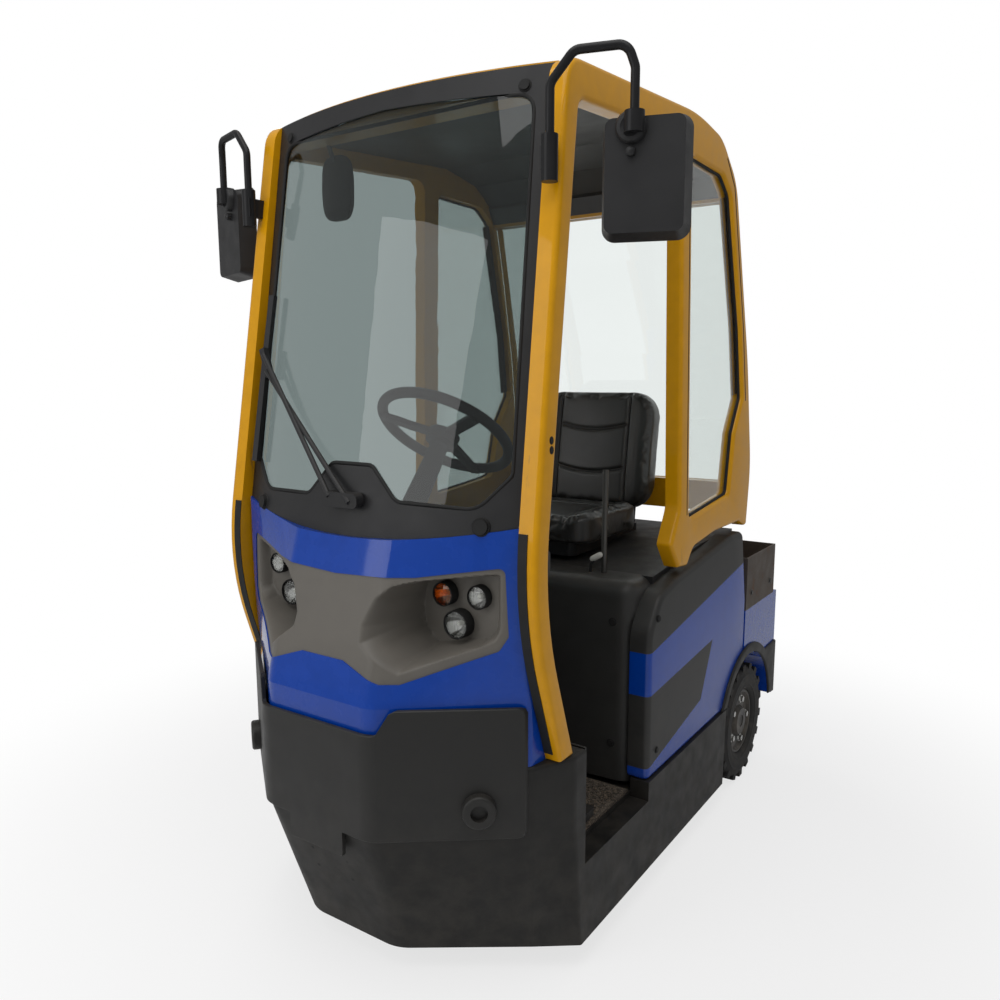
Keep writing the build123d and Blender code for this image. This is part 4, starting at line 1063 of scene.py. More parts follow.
def wheel_matrix(x, y, out):
    """Place of a wheel with its own Z axis pointing outwards."""
    if out == 1:
        return Matrix(((0, 0, 1, x), (1, 0, 0, y), (0, 1, 0, AXLE_Z), (0, 0, 0, 1)))
    return Matrix(((0, 0, -1, x), (0, 1, 0, y), (1, 0, 0, AXLE_Z), (0, 0, 0, 1)))


def lug_shape(sizes, row):
    """One bevelled lug at the top of a wheel whose hub is the origin."""
    edge = sizes.tyre_width / 2 - LUG_EDGE
    foot = sizes.tyre_radius - sizes.lug_depth - LUG_FOOT
    corners = [(LUG_INNER, -0.006), (edge, -0.017), (edge, 0.010), (LUG_INNER, 0.014)]
    bm = bmesh.new()
    top = capped(bm, [[(row * x, row * y, z) for x, y in corners] for z in (foot, sizes.tyre_radius)])
    bmesh.ops.recalc_face_normals(bm, faces=bm.faces)
    bmesh.ops.bevel(bm, geom=list(top.edges), offset=0.0016, segments=2, profile=0.6, affect="EDGES")
    mesh = bpy.data.meshes.new("lug")
    bm.to_mesh(mesh)
    bm.free()
    return mesh


# Seat pads


def pad_outline(width, length, corner, steps):
    """Rounded rectangle round the origin."""
    points = []
    reach_x, reach_y = width / 2 - corner, length / 2 - corner
    for turn, x, y in ((0, 1, 1), (1, -1, 1), (2, -1, -1), (3, 1, -1)):
        for step in range(steps + 1):
            a = pi / 2 * (turn + step / steps)
            points.append((x * reach_x + corner * cos(a), y * reach_y + corner * sin(a)))
    return points


def pad_mesh(name, pad):
    """Swollen pad with bolsters and sewn channels, its top along +Z from the origin."""
    outline = pad_outline(pad["w"], pad["l"], pad["r"], 10)
    bm = bmesh.new()
    capped(bm, [[(x, y, z) for x, y in outline] for z in (0.0, pad["t"])])
    holder = bpy.data.objects.new("pad_form", mesh_from("pad_form", bm, 60))
    bpy.context.scene.collection.objects.link(holder)
    remesh = holder.modifiers.new("remesh", "REMESH")
    remesh.mode = "VOXEL"
    remesh.voxel_size = PAD_VOXEL
    mesh = evaluated_mesh(holder)
    holder.modifiers.remove(remesh)
    bm = bmesh.new()
    bm.from_mesh(mesh)
    for _ in range(6):
        bmesh.ops.smooth_vert(
            bm, verts=bm.verts, factor=0.5, use_axis_x=True, use_axis_y=True, use_axis_z=True,
        )
    bm.to_mesh(mesh)
    bm.free()
    holder.data = mesh
    rest = [v.co.copy() for v in mesh.vertices]
    swell(holder)
    mesh = holder.data
    for vertex, start in zip(mesh.vertices, rest):
        move = vertex.co - start
        if move.length > PAD_SWELL:
            vertex.co = start + move.normalized() * PAD_SWELL
        vertex.co.z = max(0.0, vertex.co.z)
    shape_pad(mesh, pad)
    bpy.data.objects.remove(holder)
    bm = bmesh.new()
    bm.from_mesh(mesh)
    bmesh.ops.subdivide_edges(bm, edges=bm.edges, cuts=1, use_grid_fill=True, smooth=0.6)
    return mesh_from(name, bm, 180)


def swell(holder):
    """Blow the pad up a little with cloth under pressure and keep the result."""
    scene = bpy.context.scene
    cloth = holder.modifiers.new("cloth", "CLOTH")
    cloth.settings.quality = 4
    cloth.settings.use_pressure = True
    cloth.settings.uniform_pressure_force = 4.0
    cloth.settings.tension_stiffness = 20.0
    cloth.settings.compression_stiffness = 20.0
    cloth.settings.bending_stiffness = 2.0
    cloth.settings.effector_weights.gravity = 0.0
    cloth.point_cache.frame_start = 1
    cloth.point_cache.frame_end = SWELL_FRAMES
    for number in range(1, SWELL_FRAMES + 1):
        scene.frame_set(number)
    mesh = evaluated_mesh(holder)
    holder.modifiers.remove(cloth)
    holder.data = mesh
    scene.frame_set(1)


def shape_pad(mesh, pad):
    """Raise the side bolsters, crown the middle and press the seams in."""
    top = max(v.co.z for v in mesh.vertices)
    half_w, half_l = pad["w"] / 2, pad["l"] / 2
    for vertex in mesh.vertices:
        x, y, z = vertex.co
        face = max(0.0, min(1.0, (z - top * 0.45) / (top * 0.4)))
        edge = min(1.0, max(0.0, (abs(x) - pad["seam"]) / 0.05))
        bolster = PAD_BOLSTER * edge * edge * (3 - 2 * edge) * (1 - min(1.0, abs(y) / half_l) ** 4)
        crown = PAD_CROWN * (1 - (x / half_w) ** 2) * (1 - (y / half_l) ** 2)
        groove = SEAM_DEPTH * bell(abs(x) - pad["seam"])
        if abs(x) < pad["seam"]:
            for line in pad["cross"]:
                groove = max(groove, CROSS_DEPTH * bell(y - cross_line(x, line, pad)))
        vertex.co.z = z + face * (bolster + crown - groove)


def bell(distance):
    """Share of a seam's depth at a distance from its line."""
    return exp(-((distance / SEAM_W) ** 2))


def cross_line(x, line, pad):
    """Place of a cross seam, bowed down in the middle."""
    return line - CROSS_BOW * (1 - (x / pad["seam"]) ** 2)


def seam_lines(mesh, pad):
    """Points along each seam, lying in its channel."""
    tree = tree_of(mesh)

    def drop(x, y):
        """Point of the pad's top under a place in plan."""
        return tree.ray_cast(Vector((x, y, 0.5)), Vector((0, 0, -1)))[0] + Vector((0, 0, 0.0008))

    reach = pad["l"] / 2 - 0.035
    lines = [[drop(side * pad["seam"], -reach + 2 * reach * k / 40) for k in range(41)] for side in SIDES]
    for line in pad["cross"]:
        across = [pad["seam"] * (2 * k / 30 - 1) for k in range(31)]
        lines.append([drop(x, cross_line(x, line, pad)) for x in across])
    return lines


# Strips


def side_strip(bm, side, line, half, inner, outer):
    """Strip along side-view points, between two distances inside the cab side's outer face."""
    rows = []
    for (y, z), before, after in zip(line, [line[0]] + line, line[1:] + [line[-1]]):
        run = (Vector(after) - Vector(before)).normalized() * half
        rows.append([
            Vector((side * (frame_x(z - sign * run.x) - depth), y + sign * run.y, z - sign * run.x))
            for sign, depth in ((1, inner), (1, outer), (-1, outer), (-1, inner))
        ])
    capped(bm, rows)


def even_points(corners, count):
    """Even points along a line of side-view corners."""
    points = []
    for first, second in zip(corners, corners[1:]):
        points += [tuple(Vector(first).lerp(Vector(second), k / count)) for k in range(count)]
    return points + [corners[-1]]


def pillar_strips():
    """Dark strips between the nose panel and the two front pillars: a rubber seal, with painted shade of the
    gap behind it.
    """
    bm = bmesh.new()
    for side in SIDES:
        rows = []
        for step in range(STRIP_STEPS + 1):
            z = STRIP_Z[0] + (STRIP_Z[1] - STRIP_Z[0]) * step / STRIP_STEPS
            row = []
            for across, out in STRIP_SECTION:
                start = (side * (frame_x(z) - PILLAR_IN + across), -1.3, z)
                row.append(seat_on("side_frames", start, (0, 1, 0))[0] - Vector((0, out, 0)))
            rows.append(row)
        capped(bm, rows)
    return bm


# Geometry node trees


class Tree(Group):
    """A geometry node tree that ends in one mesh with its material."""

    def __init__(self, name, inputs):
        inputs = [("Geometry", "Geometry", None), *inputs, ("Material", "Material", None)]
        super().__init__(name, "GeometryNodeTree", inputs, [("Geometry", "Geometry")])

    def moved(self, geometry, offset):
        """Geometry moved by an offset."""
        return self.add("GeometryNodeTransform", {"Geometry": geometry, "Translation": offset}).outputs[0]

    def along(self, vector):
        """Rotation that lays the Z axis along a vector."""
        return self.add("FunctionNodeAlignRotationToVector", {"Vector": vector}, axis="Z").outputs[0]

    def copies(self, inputs):
        """Copies of an instance on points."""
        return self.add("GeometryNodeInstanceOnPoints", inputs).outputs[0]

    def close(self, geometry):
        """Make the copies real, set the material and end the tree."""
        real = self.add("GeometryNodeRealizeInstances", {0: geometry}).outputs[0]
        paint = self.add("GeometryNodeSetMaterial", {"Geometry": real, "Material": self.given["Material"]})
        self.feed(self.result["Geometry"], paint.outputs[0])
        return self.tree


def tree_mesh(tree, carrier, values, name):
    """Run a tree on a carrier mesh and keep its result as a plain mesh."""
    holder = bpy.data.objects.new(f"{name}_carrier", carrier)
    bpy.context.scene.collection.objects.link(holder)
    modifier = holder.modifiers.new("tree", "NODES")
    modifier.node_group = tree
    for item in tree.interface.items_tree:
        if item.in_out == "INPUT" and item.name in values:
            modifier[item.identifier] = values[item.name]
    mesh = evaluated_mesh(holder)
    mesh.name = name
    holder.modifiers.remove(modifier)
    bpy.data.objects.remove(holder)
    return mesh


def points_mesh(name, places):
    """Loose points with an outward direction each."""
    mesh = bpy.data.meshes.new(name)
    mesh.from_pydata([p for p, _ in places], [], [])
    attribute = mesh.attributes.new("outward", "FLOAT_VECTOR", "POINT")
    for index, (_, direction) in enumerate(places):
        attribute.data[index].vector = direction
    return mesh


def head_tree():
    """Washer and head of a fastener on each point, facing outwards."""
    tree = Tree("fastener_heads", [
        ("Radius", "Float", 0.008), ("Height", "Float", 0.005), ("Sides", "Int", 6), ("Washer", "Float", 1.5),
    ])
    given = tree.given
    cylinder = {"Vertices": given["Sides"], "Radius": given["Radius"], "Depth": given["Height"]}
    head = tree.add("GeometryNodeMeshCylinder", cylinder).outputs["Mesh"]
    lift = tree.add("ShaderNodeCombineXYZ", {"Z": tree.math("MULTIPLY", given["Height"], 0.5)}).outputs[0]
    wide = tree.math("MULTIPLY", given["Radius"], given["Washer"])
    washer = tree.add("GeometryNodeMeshCone", {
        "Vertices": 20,
        "Radius Bottom": wide,
        "Radius Top": tree.math("MULTIPLY", wide, 0.92),
        "Depth": tree.math("MULTIPLY", given["Height"], 0.3),
    })
    join = tree.add("GeometryNodeJoinGeometry", {0: washer.outputs["Mesh"]})
    tree.feed(join.inputs[0], tree.moved(head, lift))
    outward = tree.add("GeometryNodeInputNamedAttribute", {"Name": "outward"}, data_type="FLOAT_VECTOR")
    return tree.close(tree.copies({
        "Points": given["Geometry"],
        "Instance": join.outputs[0],
        "Rotation": tree.along(outward.outputs["Attribute"]),
    }))


def stud_tree():
    """Rows of low round studs over a rectangle."""
    tree = Tree("mat_studs", [
        ("Length X", "Float", 0.2), ("Length Y", "Float", 0.3), ("Count X", "Int", 8), ("Count Y", "Int", 12),
        ("Centre", "Vector", (0.0, 0.0, 0.0)), ("Radius", "Float", 0.007), ("Height", "Float", 0.003),
    ])
    given = tree.given
    grid = tree.add("GeometryNodeMeshGrid", {
        "Size X": given["Length X"], "Size Y": given["Length Y"],
        "Vertices X": given["Count X"], "Vertices Y": given["Count Y"],
    })
    stud = tree.add("GeometryNodeMeshCone", {
        "Vertices": 8,
        "Radius Bottom": given["Radius"],
        "Radius Top": tree.math("MULTIPLY", given["Radius"], 0.72),
        "Depth": given["Height"],
    })
    points = tree.moved(grid.outputs["Mesh"], given["Centre"])
    return tree.close(tree.copies({"Points": points, "Instance": stud.outputs["Mesh"]}))


def lug_tree():
    """One row of lugs round a tyre from a lug shape, each turned with the wheel."""
    tree = Tree("tyre_lugs", [
        ("Count", "Int", 18), ("Start", "Float", 0.0), ("Centre", "Vector", (0.0, 0.0, 0.0)),
    ])
    given = tree.given
    line = tree.add("GeometryNodeMeshLine", {"Offset": (0.0, 0.0, 0.0), "Count": given["Count"]})
    index = tree.nodes.new("GeometryNodeInputIndex").outputs[0]
    step = tree.math("DIVIDE", 2 * pi, given["Count"])
    turn = tree.math("MULTIPLY_ADD", index, step, given["Start"])
    lugs = tree.copies({
        "Points": line.outputs["Mesh"],
        "Instance": given["Geometry"],
        "Rotation": tree.add("ShaderNodeCombineXYZ", {"X": turn}).outputs[0],
    })
    return tree.close(tree.moved(lugs, given["Centre"]))


def stitch_tree():
    """Short stitches along a line of edges."""
    tree = Tree("seat_stitches", [("Pitch", "Float", 0.009), ("Radius", "Float", 0.0009)])
    given = tree.given
    curve = tree.add("GeometryNodeMeshToCurve", {"Mesh": given["Geometry"]}).outputs["Curve"]
    even = tree.add("GeometryNodeResampleCurve", {"Curve": curve, "Length": given["Pitch"]}, mode="LENGTH")
    length = tree.math("MULTIPLY", given["Pitch"], 0.62)
    thread = tree.add("GeometryNodeMeshCylinder", {"Vertices": 6, "Radius": given["Radius"], "Depth": length})
    tangent = tree.nodes.new("GeometryNodeInputTangent").outputs[0]
    return tree.close(tree.copies({
        "Points": even.outputs[0],
        "Instance": thread.outputs["Mesh"],
        "Rotation": tree.along(tangent),
    }))


# Operators


class TRACTOR_OT_finishes(bpy.types.Operator):
    """Make every finish and put it on the nodes by their material slot"""

    bl_idname = "tractor.finishes"
    bl_label = "Finishes"

    def execute(self, context):
        colours = context.scene.tractor_colours
        grain_group()
        dust_group()
        scuff_group()
        # Plastics and rubbers: colour, roughness range, grain, bump, dust on top and low down, mottle
        for row in (
            ("graphite", colours.graphite, (0.40, 0.54), 1300.0, 0.16, 0.10, 0.10, 0.08),
            # graphite_low is the graphite darkened to half, as painted shade on the low panels
            ("graphite_low", (0.0095, 0.0093, 0.0086), (0.42, 0.58), 1300.0, 0.16, 0.10, 0.10, 0.08),
            ("lamp_grey", colours.lamp_panel, (0.38, 0.52), 1600.0, 0.12, 0.12, 0.0),
            ("black_plastic", (0.018, 0.018, 0.019), (0.38, 0.56), 1100.0, 0.20, 0.10, 0.10),
            ("console_plastic", (0.030, 0.0297, 0.0285), (0.36, 0.52), 1200.0, 0.16, 0.10, 0.08, 0.08),
            ("seal_rubber", (0.010, 0.010, 0.010), (0.55, 0.75), 900.0, 0.15, 0.05, 0.05),
            ("thread", (0.045, 0.045, 0.046), (0.6, 0.8), 2000.0, 0.3, 0.0, 0.0),
            ("pale_plastic", (0.60, 0.59, 0.55), (0.30, 0.45), 1500.0, 0.05, 0.1, 0.0),
        ):
            moulded(*row)
        # Paints: colour, roughness range, coat, colour and amount of scuffs, dust on top and low down
        for row in (
            ("blue", colours.body, (0.22, 0.32), 1.0, (0.08, 0.13, 0.34), 0.12, 0.03, 0.05),
            ("yellow", colours.cab, (0.28, 0.42), 0.5, (0.16, 0.10, 0.05), 0.55, 0.06, 0.06),
            ("black_steel", (0.016, 0.016, 0.017), (0.30, 0.50), 0.2, (0.14, 0.13, 0.12), 0.5, 0.18, 0.2),
            ("rim", (0.030, 0.030, 0.031), (0.34, 0.55), 0.2, (0.20, 0.19, 0.17), 0.5, 0.2, 0.5),
            ("tail_red", (0.30, 0.006, 0.006), (0.12, 0.22), 1.0, (0.16, 0.01, 0.01), 0.08, 0.05, 0.05),
        ):
            painted(*row)
        # Metals: colour, roughness range, stretch of the streaks, bump
        for row in (
            ("bright_steel", (0.62, 0.62, 0.60), (0.22, 0.42), (1.0, 1.0, 0.12), 0.12),
            ("mirror", (0.88, 0.90, 0.91), (0.01, 0.04), (1.0, 1.0, 1.0), 0.0),
            ("worn_steel", (0.13, 0.127, 0.12), (0.40, 0.62), (1.0, 1.0, 0.3), 0.15),
            ("reflector", (0.40, 0.40, 0.39), (0.05, 0.16), (1.0, 1.0, 1.0), 0.05),
        ):
            metal(*row)
        pane("glass", (0.84, 0.88, 0.865), 0.03)
        # Dark tint of the windscreen, standing for the shade of the cab behind it (painted shade)
        pane("screen_glass_shaded", (0.20, 0.245, 0.24), 0.03)
        lens("lens_clear", (0.80, 0.81, 0.80), 0.02)
        lens("lens_amber", (0.80, 0.30, 0.03), 0.06)
        cover_paint("cover", colours.body, colours.graphite)
        header_paint("header", colours.cab)
        roof_sheet("roof_plastic")
        seat_vinyl("vinyl")
        mat_rubber("mat", colours.mat)
        bin_steel("bin", colours.bin)
        tyre_rubber("tyre", colours.rubber)
        for part in frame["record"]["subparts"]:
            mesh = frame["nodes"][part["node"]].data
            mesh.materials.clear()
            mesh.materials.append(FINISHES[NODE_FINISHES.get(part["node"], part["material_slot"])])
        return {"FINISHED"}


class TRACTOR_OT_bodywork(bpy.types.Operator):
    """Build the rounded cab sides, covers, console, lamp insert and arch trims"""

    bl_idname = "tractor.bodywork"
    bl_label = "Bodywork"

    def execute(self, context):
        frames, panes, covers, trims, console = (bmesh.new() for _ in range(5))
        outer, quarter, cover = (clean_loop(corners, 9) for corners in (FRAME, QUARTER, COVER))
        pane_loop = drawn_in(quarter, PANE_GAP)
        flare = flare_loop()
        cover_edge = rounded_edge(COVER_ROUND, COVER_OUT_X - COVER_IN_X, 5)
        trim_edge = rounded_edge(TRIM_ROUND, TRIM_X[1] - TRIM_X[0], 4)
        for side in SIDES:
            on_frame = side_place(side, frame_x)
            slab(frames, outer, [quarter], rounded_edge(FRAME_ROUND, FRAME_T, 5), on_frame)
            slab(panes, pane_loop, [], [(0.0, depth) for depth in PANE_DEPTHS], on_frame)
            slab(covers, cover, [], cover_edge, side_place(side, lambda z: COVER_OUT_X))
            slab(trims, flare, [], trim_edge, side_place(side, lambda z: TRIM_X[1]))
        low, top = CONSOLE_Z
        console_loop = clean_loop(mirrored(CONSOLE_HALF), 9)
        slab(console, console_loop, [], rounded_edge(CONSOLE_ROUND, top - low, 7), top_place(top))
        for node, mesh, finish, slot in (
            ("side_frames", mesh_from("side_frames", frames, 35), "yellow", "yellow"),
            ("quarter_windows", mesh_from("quarter_windows", panes, 35), "glass", "glass"),
            ("side_covers", mesh_from("side_covers", covers, 35), "cover", "cover"),
            ("seat_console", mesh_from("seat_console", console, 35), "console_plastic", "graphite"),
            ("lamp_panel", insert_mesh(), "lamp_grey", "lamp_grey"),
            # The skirt takes the darkened graphite, as painted shade
            ("front_skirt", skirt_mesh(), "graphite_low", "graphite"),
            ("front_plate", plate_mesh(), "graphite", "graphite"),
        ):
            piece = add_piece(f"{node}_skin", mesh, finish)
            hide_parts(node)
        # The arch trims take the darkened graphite, as painted shade
        add_piece("arch_trims", mesh_from("arch_trims", trims, 35), "graphite_low")
        return {"FINISHED"}


class TRACTOR_OT_tyres(bpy.types.Operator):
    """Build the three lugged tyres with ribbed side walls"""

    bl_idname = "tractor.tyres"
    bl_label = "Tyres"

    def execute(self, context):
        sizes = context.scene.tractor_sizes
        half = sizes.tyre_width / 2
        tread = sizes.tyre_radius - sizes.lug_depth
        wall = [(half - inset, radius) for inset, radius in TYRE_WALL]
        wall += [(half - inset, tread - drop) for inset, drop in TYRE_SHOULDER]
        profile = wall + [(0.0, tread)] + [(-across, radius) for across, radius in reversed(wall)]
        tree = lug_tree()
        for name, body, tyre, x, y, out in WHEELS:
            bm = turned(profile, 96, wheel_matrix(x, y, out))
            for row in SIDES:
                values = {
                    "Count": sizes.lug_count,
                    "Start": 0.0 if row == 1 else pi / sizes.lug_count,
                    "Centre": (x, y, AXLE_Z),
                    "Material": FINISHES["tyre"],
                }
                bm.from_mesh(tree_mesh(tree, lug_shape(sizes, row), values, "lug_row"))
            piece = add_piece(f"tyre_{name}", mesh_from("tyre", bm, 35), "tyre", body)
            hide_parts(tyre)
        return {"FINISHED"}


class TRACTOR_OT_wheel_fittings(bpy.types.Operator):
    """Put nuts and the worn flange edge on each rim"""

    bl_idname = "tractor.wheel_fittings"
    bl_label = "Wheel fittings"

    def execute(self, context):
        sizes = context.scene.tractor_sizes
        tree = head_tree()
        values = {
            "Radius": sizes.nut_size, "Height": NUT_HEIGHT, "Sides": 6, "Washer": 1.45,
            "Material": FINISHES["bright_steel"],
        }
        for name, body, _, x, y, out in WHEELS:
            face = Vector((x + out * NUT_FACE, y, AXLE_Z))
            places = [
                (face + Vector((0, cos(a), sin(a))) * NUT_CIRCLE, Vector((out, 0, 0))) for a in turns(NUTS)
            ]
            nuts = tree_mesh(tree, points_mesh("nut_places", places), values, "wheel_nuts")
            add_piece(f"wheel_nuts_{name}", nuts, None, body)
            ring = mesh_from("rim_edge", turned(RIM_EDGE, 72, wheel_matrix(x, y, out)), 40)
            add_piece(f"rim_edge_{name}", ring, "worn_steel", body)
        return {"FINISHED"}


class TRACTOR_OT_mat_studs(bpy.types.Operator):
    """Cover the floor mat with rows of low studs"""

    bl_idname = "tractor.mat_studs"
    bl_label = "Mat studs"

    def execute(self, context):
        sizes = context.scene.tractor_sizes
        pitch = sizes.stud_pitch
        tree = stud_tree()
        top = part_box("floor_mat")[1][2]
        bm = bmesh.new()
        for x, y, width, length in MAT_FIELDS:
            for shift, share in ((0.0, 1.0), (0.5 * pitch, SMALL_STUD)):
                count_x, count_y = (int((size - shift * 2) / pitch) + 1 for size in (width, length))
                values = {
                    "Length X": (count_x - 1) * pitch,
                    "Length Y": (count_y - 1) * pitch,
                    "Count X": count_x,
                    "Count Y": count_y,
                    "Centre": (x, y, top - 0.0002),
                    "Radius": sizes.stud_radius * share,
                    "Height": STUD_HEIGHT,
                    "Material": FINISHES["mat"],
                }
                bm.from_mesh(tree_mesh(tree, bpy.data.meshes.new("mat_points"), values, "studs"))
        add_piece("mat_studs", mesh_from("mat_studs", bm, 0), "mat")
        return {"FINISHED"}


class TRACTOR_OT_fasteners(bpy.types.Operator):
    """Seat the screws, caps and bolts on the panels that they hold"""

    bl_idname = "tractor.fasteners"
    bl_label = "Fasteners"

    def execute(self, context):
        screw = context.scene.tractor_sizes.screw_size
        tree = head_tree()
        screen_caps = [(0.353, 2.006), (-0.353, 2.006)]
        screen_pads = [(0.340, 1.090), (-0.340, 1.090)]
        frame_dots = [(-0.722, 1.275), (-0.722, 1.255)]
        cover_screws = [(-0.190, 0.770), (-0.180, 0.397)]
        bin_bolts = [(0.600, 0.672), (0.810, 0.672)]
        skirt_holes = [(x, z) for x in (0.056, -0.056) for z in (0.2475, 0.3005)]
        console_caps = [(x, z) for x in (0.375, -0.375) for z in (0.752, 0.407)]
        tow_bolts = [(x, z) for x in (0.056, -0.056) for z in (0.268, 0.422)]
        # Groups: node, view, places in it, head radius and height, sides, washer, finish
        groups = [
            ("windscreen_surround", "front", screen_caps, 0.011, 0.006, 16, 1.35, "seal_rubber"),
            ("windscreen_surround", "front", screen_pads, 0.016, 0.010, 20, 1.35, "seal_rubber"),
            ("side_frames", "left", frame_dots, 0.006, 0.002, 16, 1.5, "seal_rubber"),
            ("side_frames", "right", frame_dots, 0.006, 0.002, 16, 1.5, "seal_rubber"),
            ("front_skirt", "front", skirt_holes, 0.0045, 0.0004, 16, 1.3, "seal_rubber"),
            ("seat_console", "front", console_caps, 0.008, 0.004, 16, 1.5, "seal_rubber"),
            ("side_covers", "left", cover_screws, screw, 0.004, 16, 1.4, "seal_rubber"),
            ("side_covers", "right", cover_screws, screw, 0.004, 16, 1.4, "seal_rubber"),
            ("load_bin", "left", bin_bolts, 0.008, 0.005, 6, 1.5, "worn_steel"),
            ("load_bin", "right", bin_bolts, 0.008, 0.005, 6, 1.5, "worn_steel"),
            ("tow_coupling", "back", tow_bolts, 0.011, 0.008, 6, 1.5, "worn_steel"),
        ]
        for number, (node, view, spots, radius, height, sides, washer, finish) in enumerate(groups):
            sight, distance = VIEWS[view]
            places = []
            for a, z in spots:
                spot = Vector((0, a, z)) if sight.x else Vector((a, 0, z))
                point, normal = seat_on(node, spot - sight * distance, sight)
                places.append((point - normal * 0.0002, normal))
            values = {
                "Radius": radius, "Height": height, "Sides": sides, "Washer": washer,
                "Material": FINISHES[finish],
            }
            heads = tree_mesh(tree, points_mesh("head_places", places), values, "heads")
            add_piece(f"fasteners_{node}_{number}", heads, None)
        return {"FINISHED"}


class TRACTOR_OT_lamps(bpy.types.Operator):
    """Build the front lamps with bezel, reflector, bulb and domed lens"""

    bl_idname = "tractor.lamps"
    bl_label = "Front lamps"

    def execute(self, context):
        # Forms: key, finish, slot and the node that the form stands for
        made = [
            ("bezel", "seal_rubber", "black_plastic", None),
            ("reflector", "reflector", "bright_steel", None),
            ("bulb", "pale_plastic", "lens_clear", None),
            ("main", "lens_clear", "lens_clear", "clear_lamps"),
            ("amber", "lens_amber", "lens_amber", "indicator_lamps"),
        ]
        forms = {key: bmesh.new() for key, _, _, _ in made}
        for x, z, r, depth, kind in LAMPS:
            rim = r - LAMP_WALL
            bezel = [
                (0.0004, r), (depth - 0.002, r), (depth - 0.0004, r - 0.001), (depth, r - 0.0022),
                (depth - 0.002, rim), (0.0004, rim),
            ]
            bowl = [
                (0.0025 + (depth - 0.0075) * s * s, 0.003 + (rim - 0.0035) * s)
                for s in (0, 0.2, 0.4, 0.6, 0.8, 1.0)
            ]
            dome = [
                (depth - 0.0045 + 0.0042 * cos(pi / 2 * s), (rim - 0.0003) * s + 0.0001)
                for s in (1.0, 0.85, 0.7, 0.5, 0.3, 0.12, 0.0)
            ]
            bulb = [
                (0.002, 0.0001), (0.002, 0.006), (depth * 0.42, 0.0055), (depth * 0.50, 0.004),
                (depth * 0.54, 0.0001),
            ]
            back = [(across - 0.001, radius) for across, radius in reversed(bowl)]
            inner = [(across - 0.0015, radius) for across, radius in reversed(dome)]
            profiles = {"bezel": bezel, "reflector": bowl + back, kind: dome + inner, "bulb": bulb}
            for side in SIDES:
                place = Matrix(((1, 0, 0, side * x), (0, 0, -1, LAMP_BED_Y), (0, 1, 0, z), (0, 0, 0, 1)))
                for key, profile in profiles.items():
                    add_form(forms[key], turned(profile, 40, place))
        for key, finish, slot, node in made:
            piece = add_piece(f"front_lamp_{key}", mesh_from(f"lamp_{key}", forms[key], 40), finish)
            if node:
                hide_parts(node)
        return {"FINISHED"}


class TRACTOR_OT_seals(bpy.types.Operator):
    """Run the rubber seals round the windows, and dark strips of seal with painted gap shade down the front
    pillars
    """

    bl_idname = "tractor.seals"
    bl_label = "Window seals"

    def execute(self, context):
        screen = []
        for x, z in rounded_loop(mirrored(GLASS_HALF), 7):
            inward = Vector((-x, GLASS_MIDDLE_Z - z)).normalized() * 0.004
            point, normal = seat_on("windscreen", (x + inward.x, -1.3, z + inward.y), (0, 1, 0))
            screen.append(point + normal * 0.0015)
        quarters, grooves, borders = (bmesh.new() for _ in range(3))
        loop = rounded_loop(QUARTER, 7)
        for side in SIDES:
            points = [Vector((side * (frame_x(z) - QUARTER_SEAL_IN), y, z)) for y, z in loop]
            add_form(quarters, tube(points, QUARTER_SEAL_R, 8, True))
            side_strip(grooves, side, even_points(B_SEAM, 8), 0.0022, 0.0010, -0.0004)
            side_strip(grooves, side, even_points(C_GROOVE, 10), 0.0030, 0.0010, -0.0004)
            side_strip(borders, side, even_points(C_BORDER, 10), 0.0200, 0.0275, 0.0250)
        for name, bm, angle in (
            ("windscreen_seal", tube(screen, SCREEN_SEAL_R, 8, True), 60),
            ("pillar_seals_and_gap_shade", pillar_strips(), 40),
            # Pillar strips: a rubber seal, with painted shade of the gap between panel and pillar
            ("frame_grooves", grooves, 40),
            ("quarter_window_borders", borders, 40),
            ("quarter_window_seals", quarters, 60),
        ):
            add_piece(name, mesh_from(name, bm, angle), "seal_rubber")
        return {"FINISHED"}


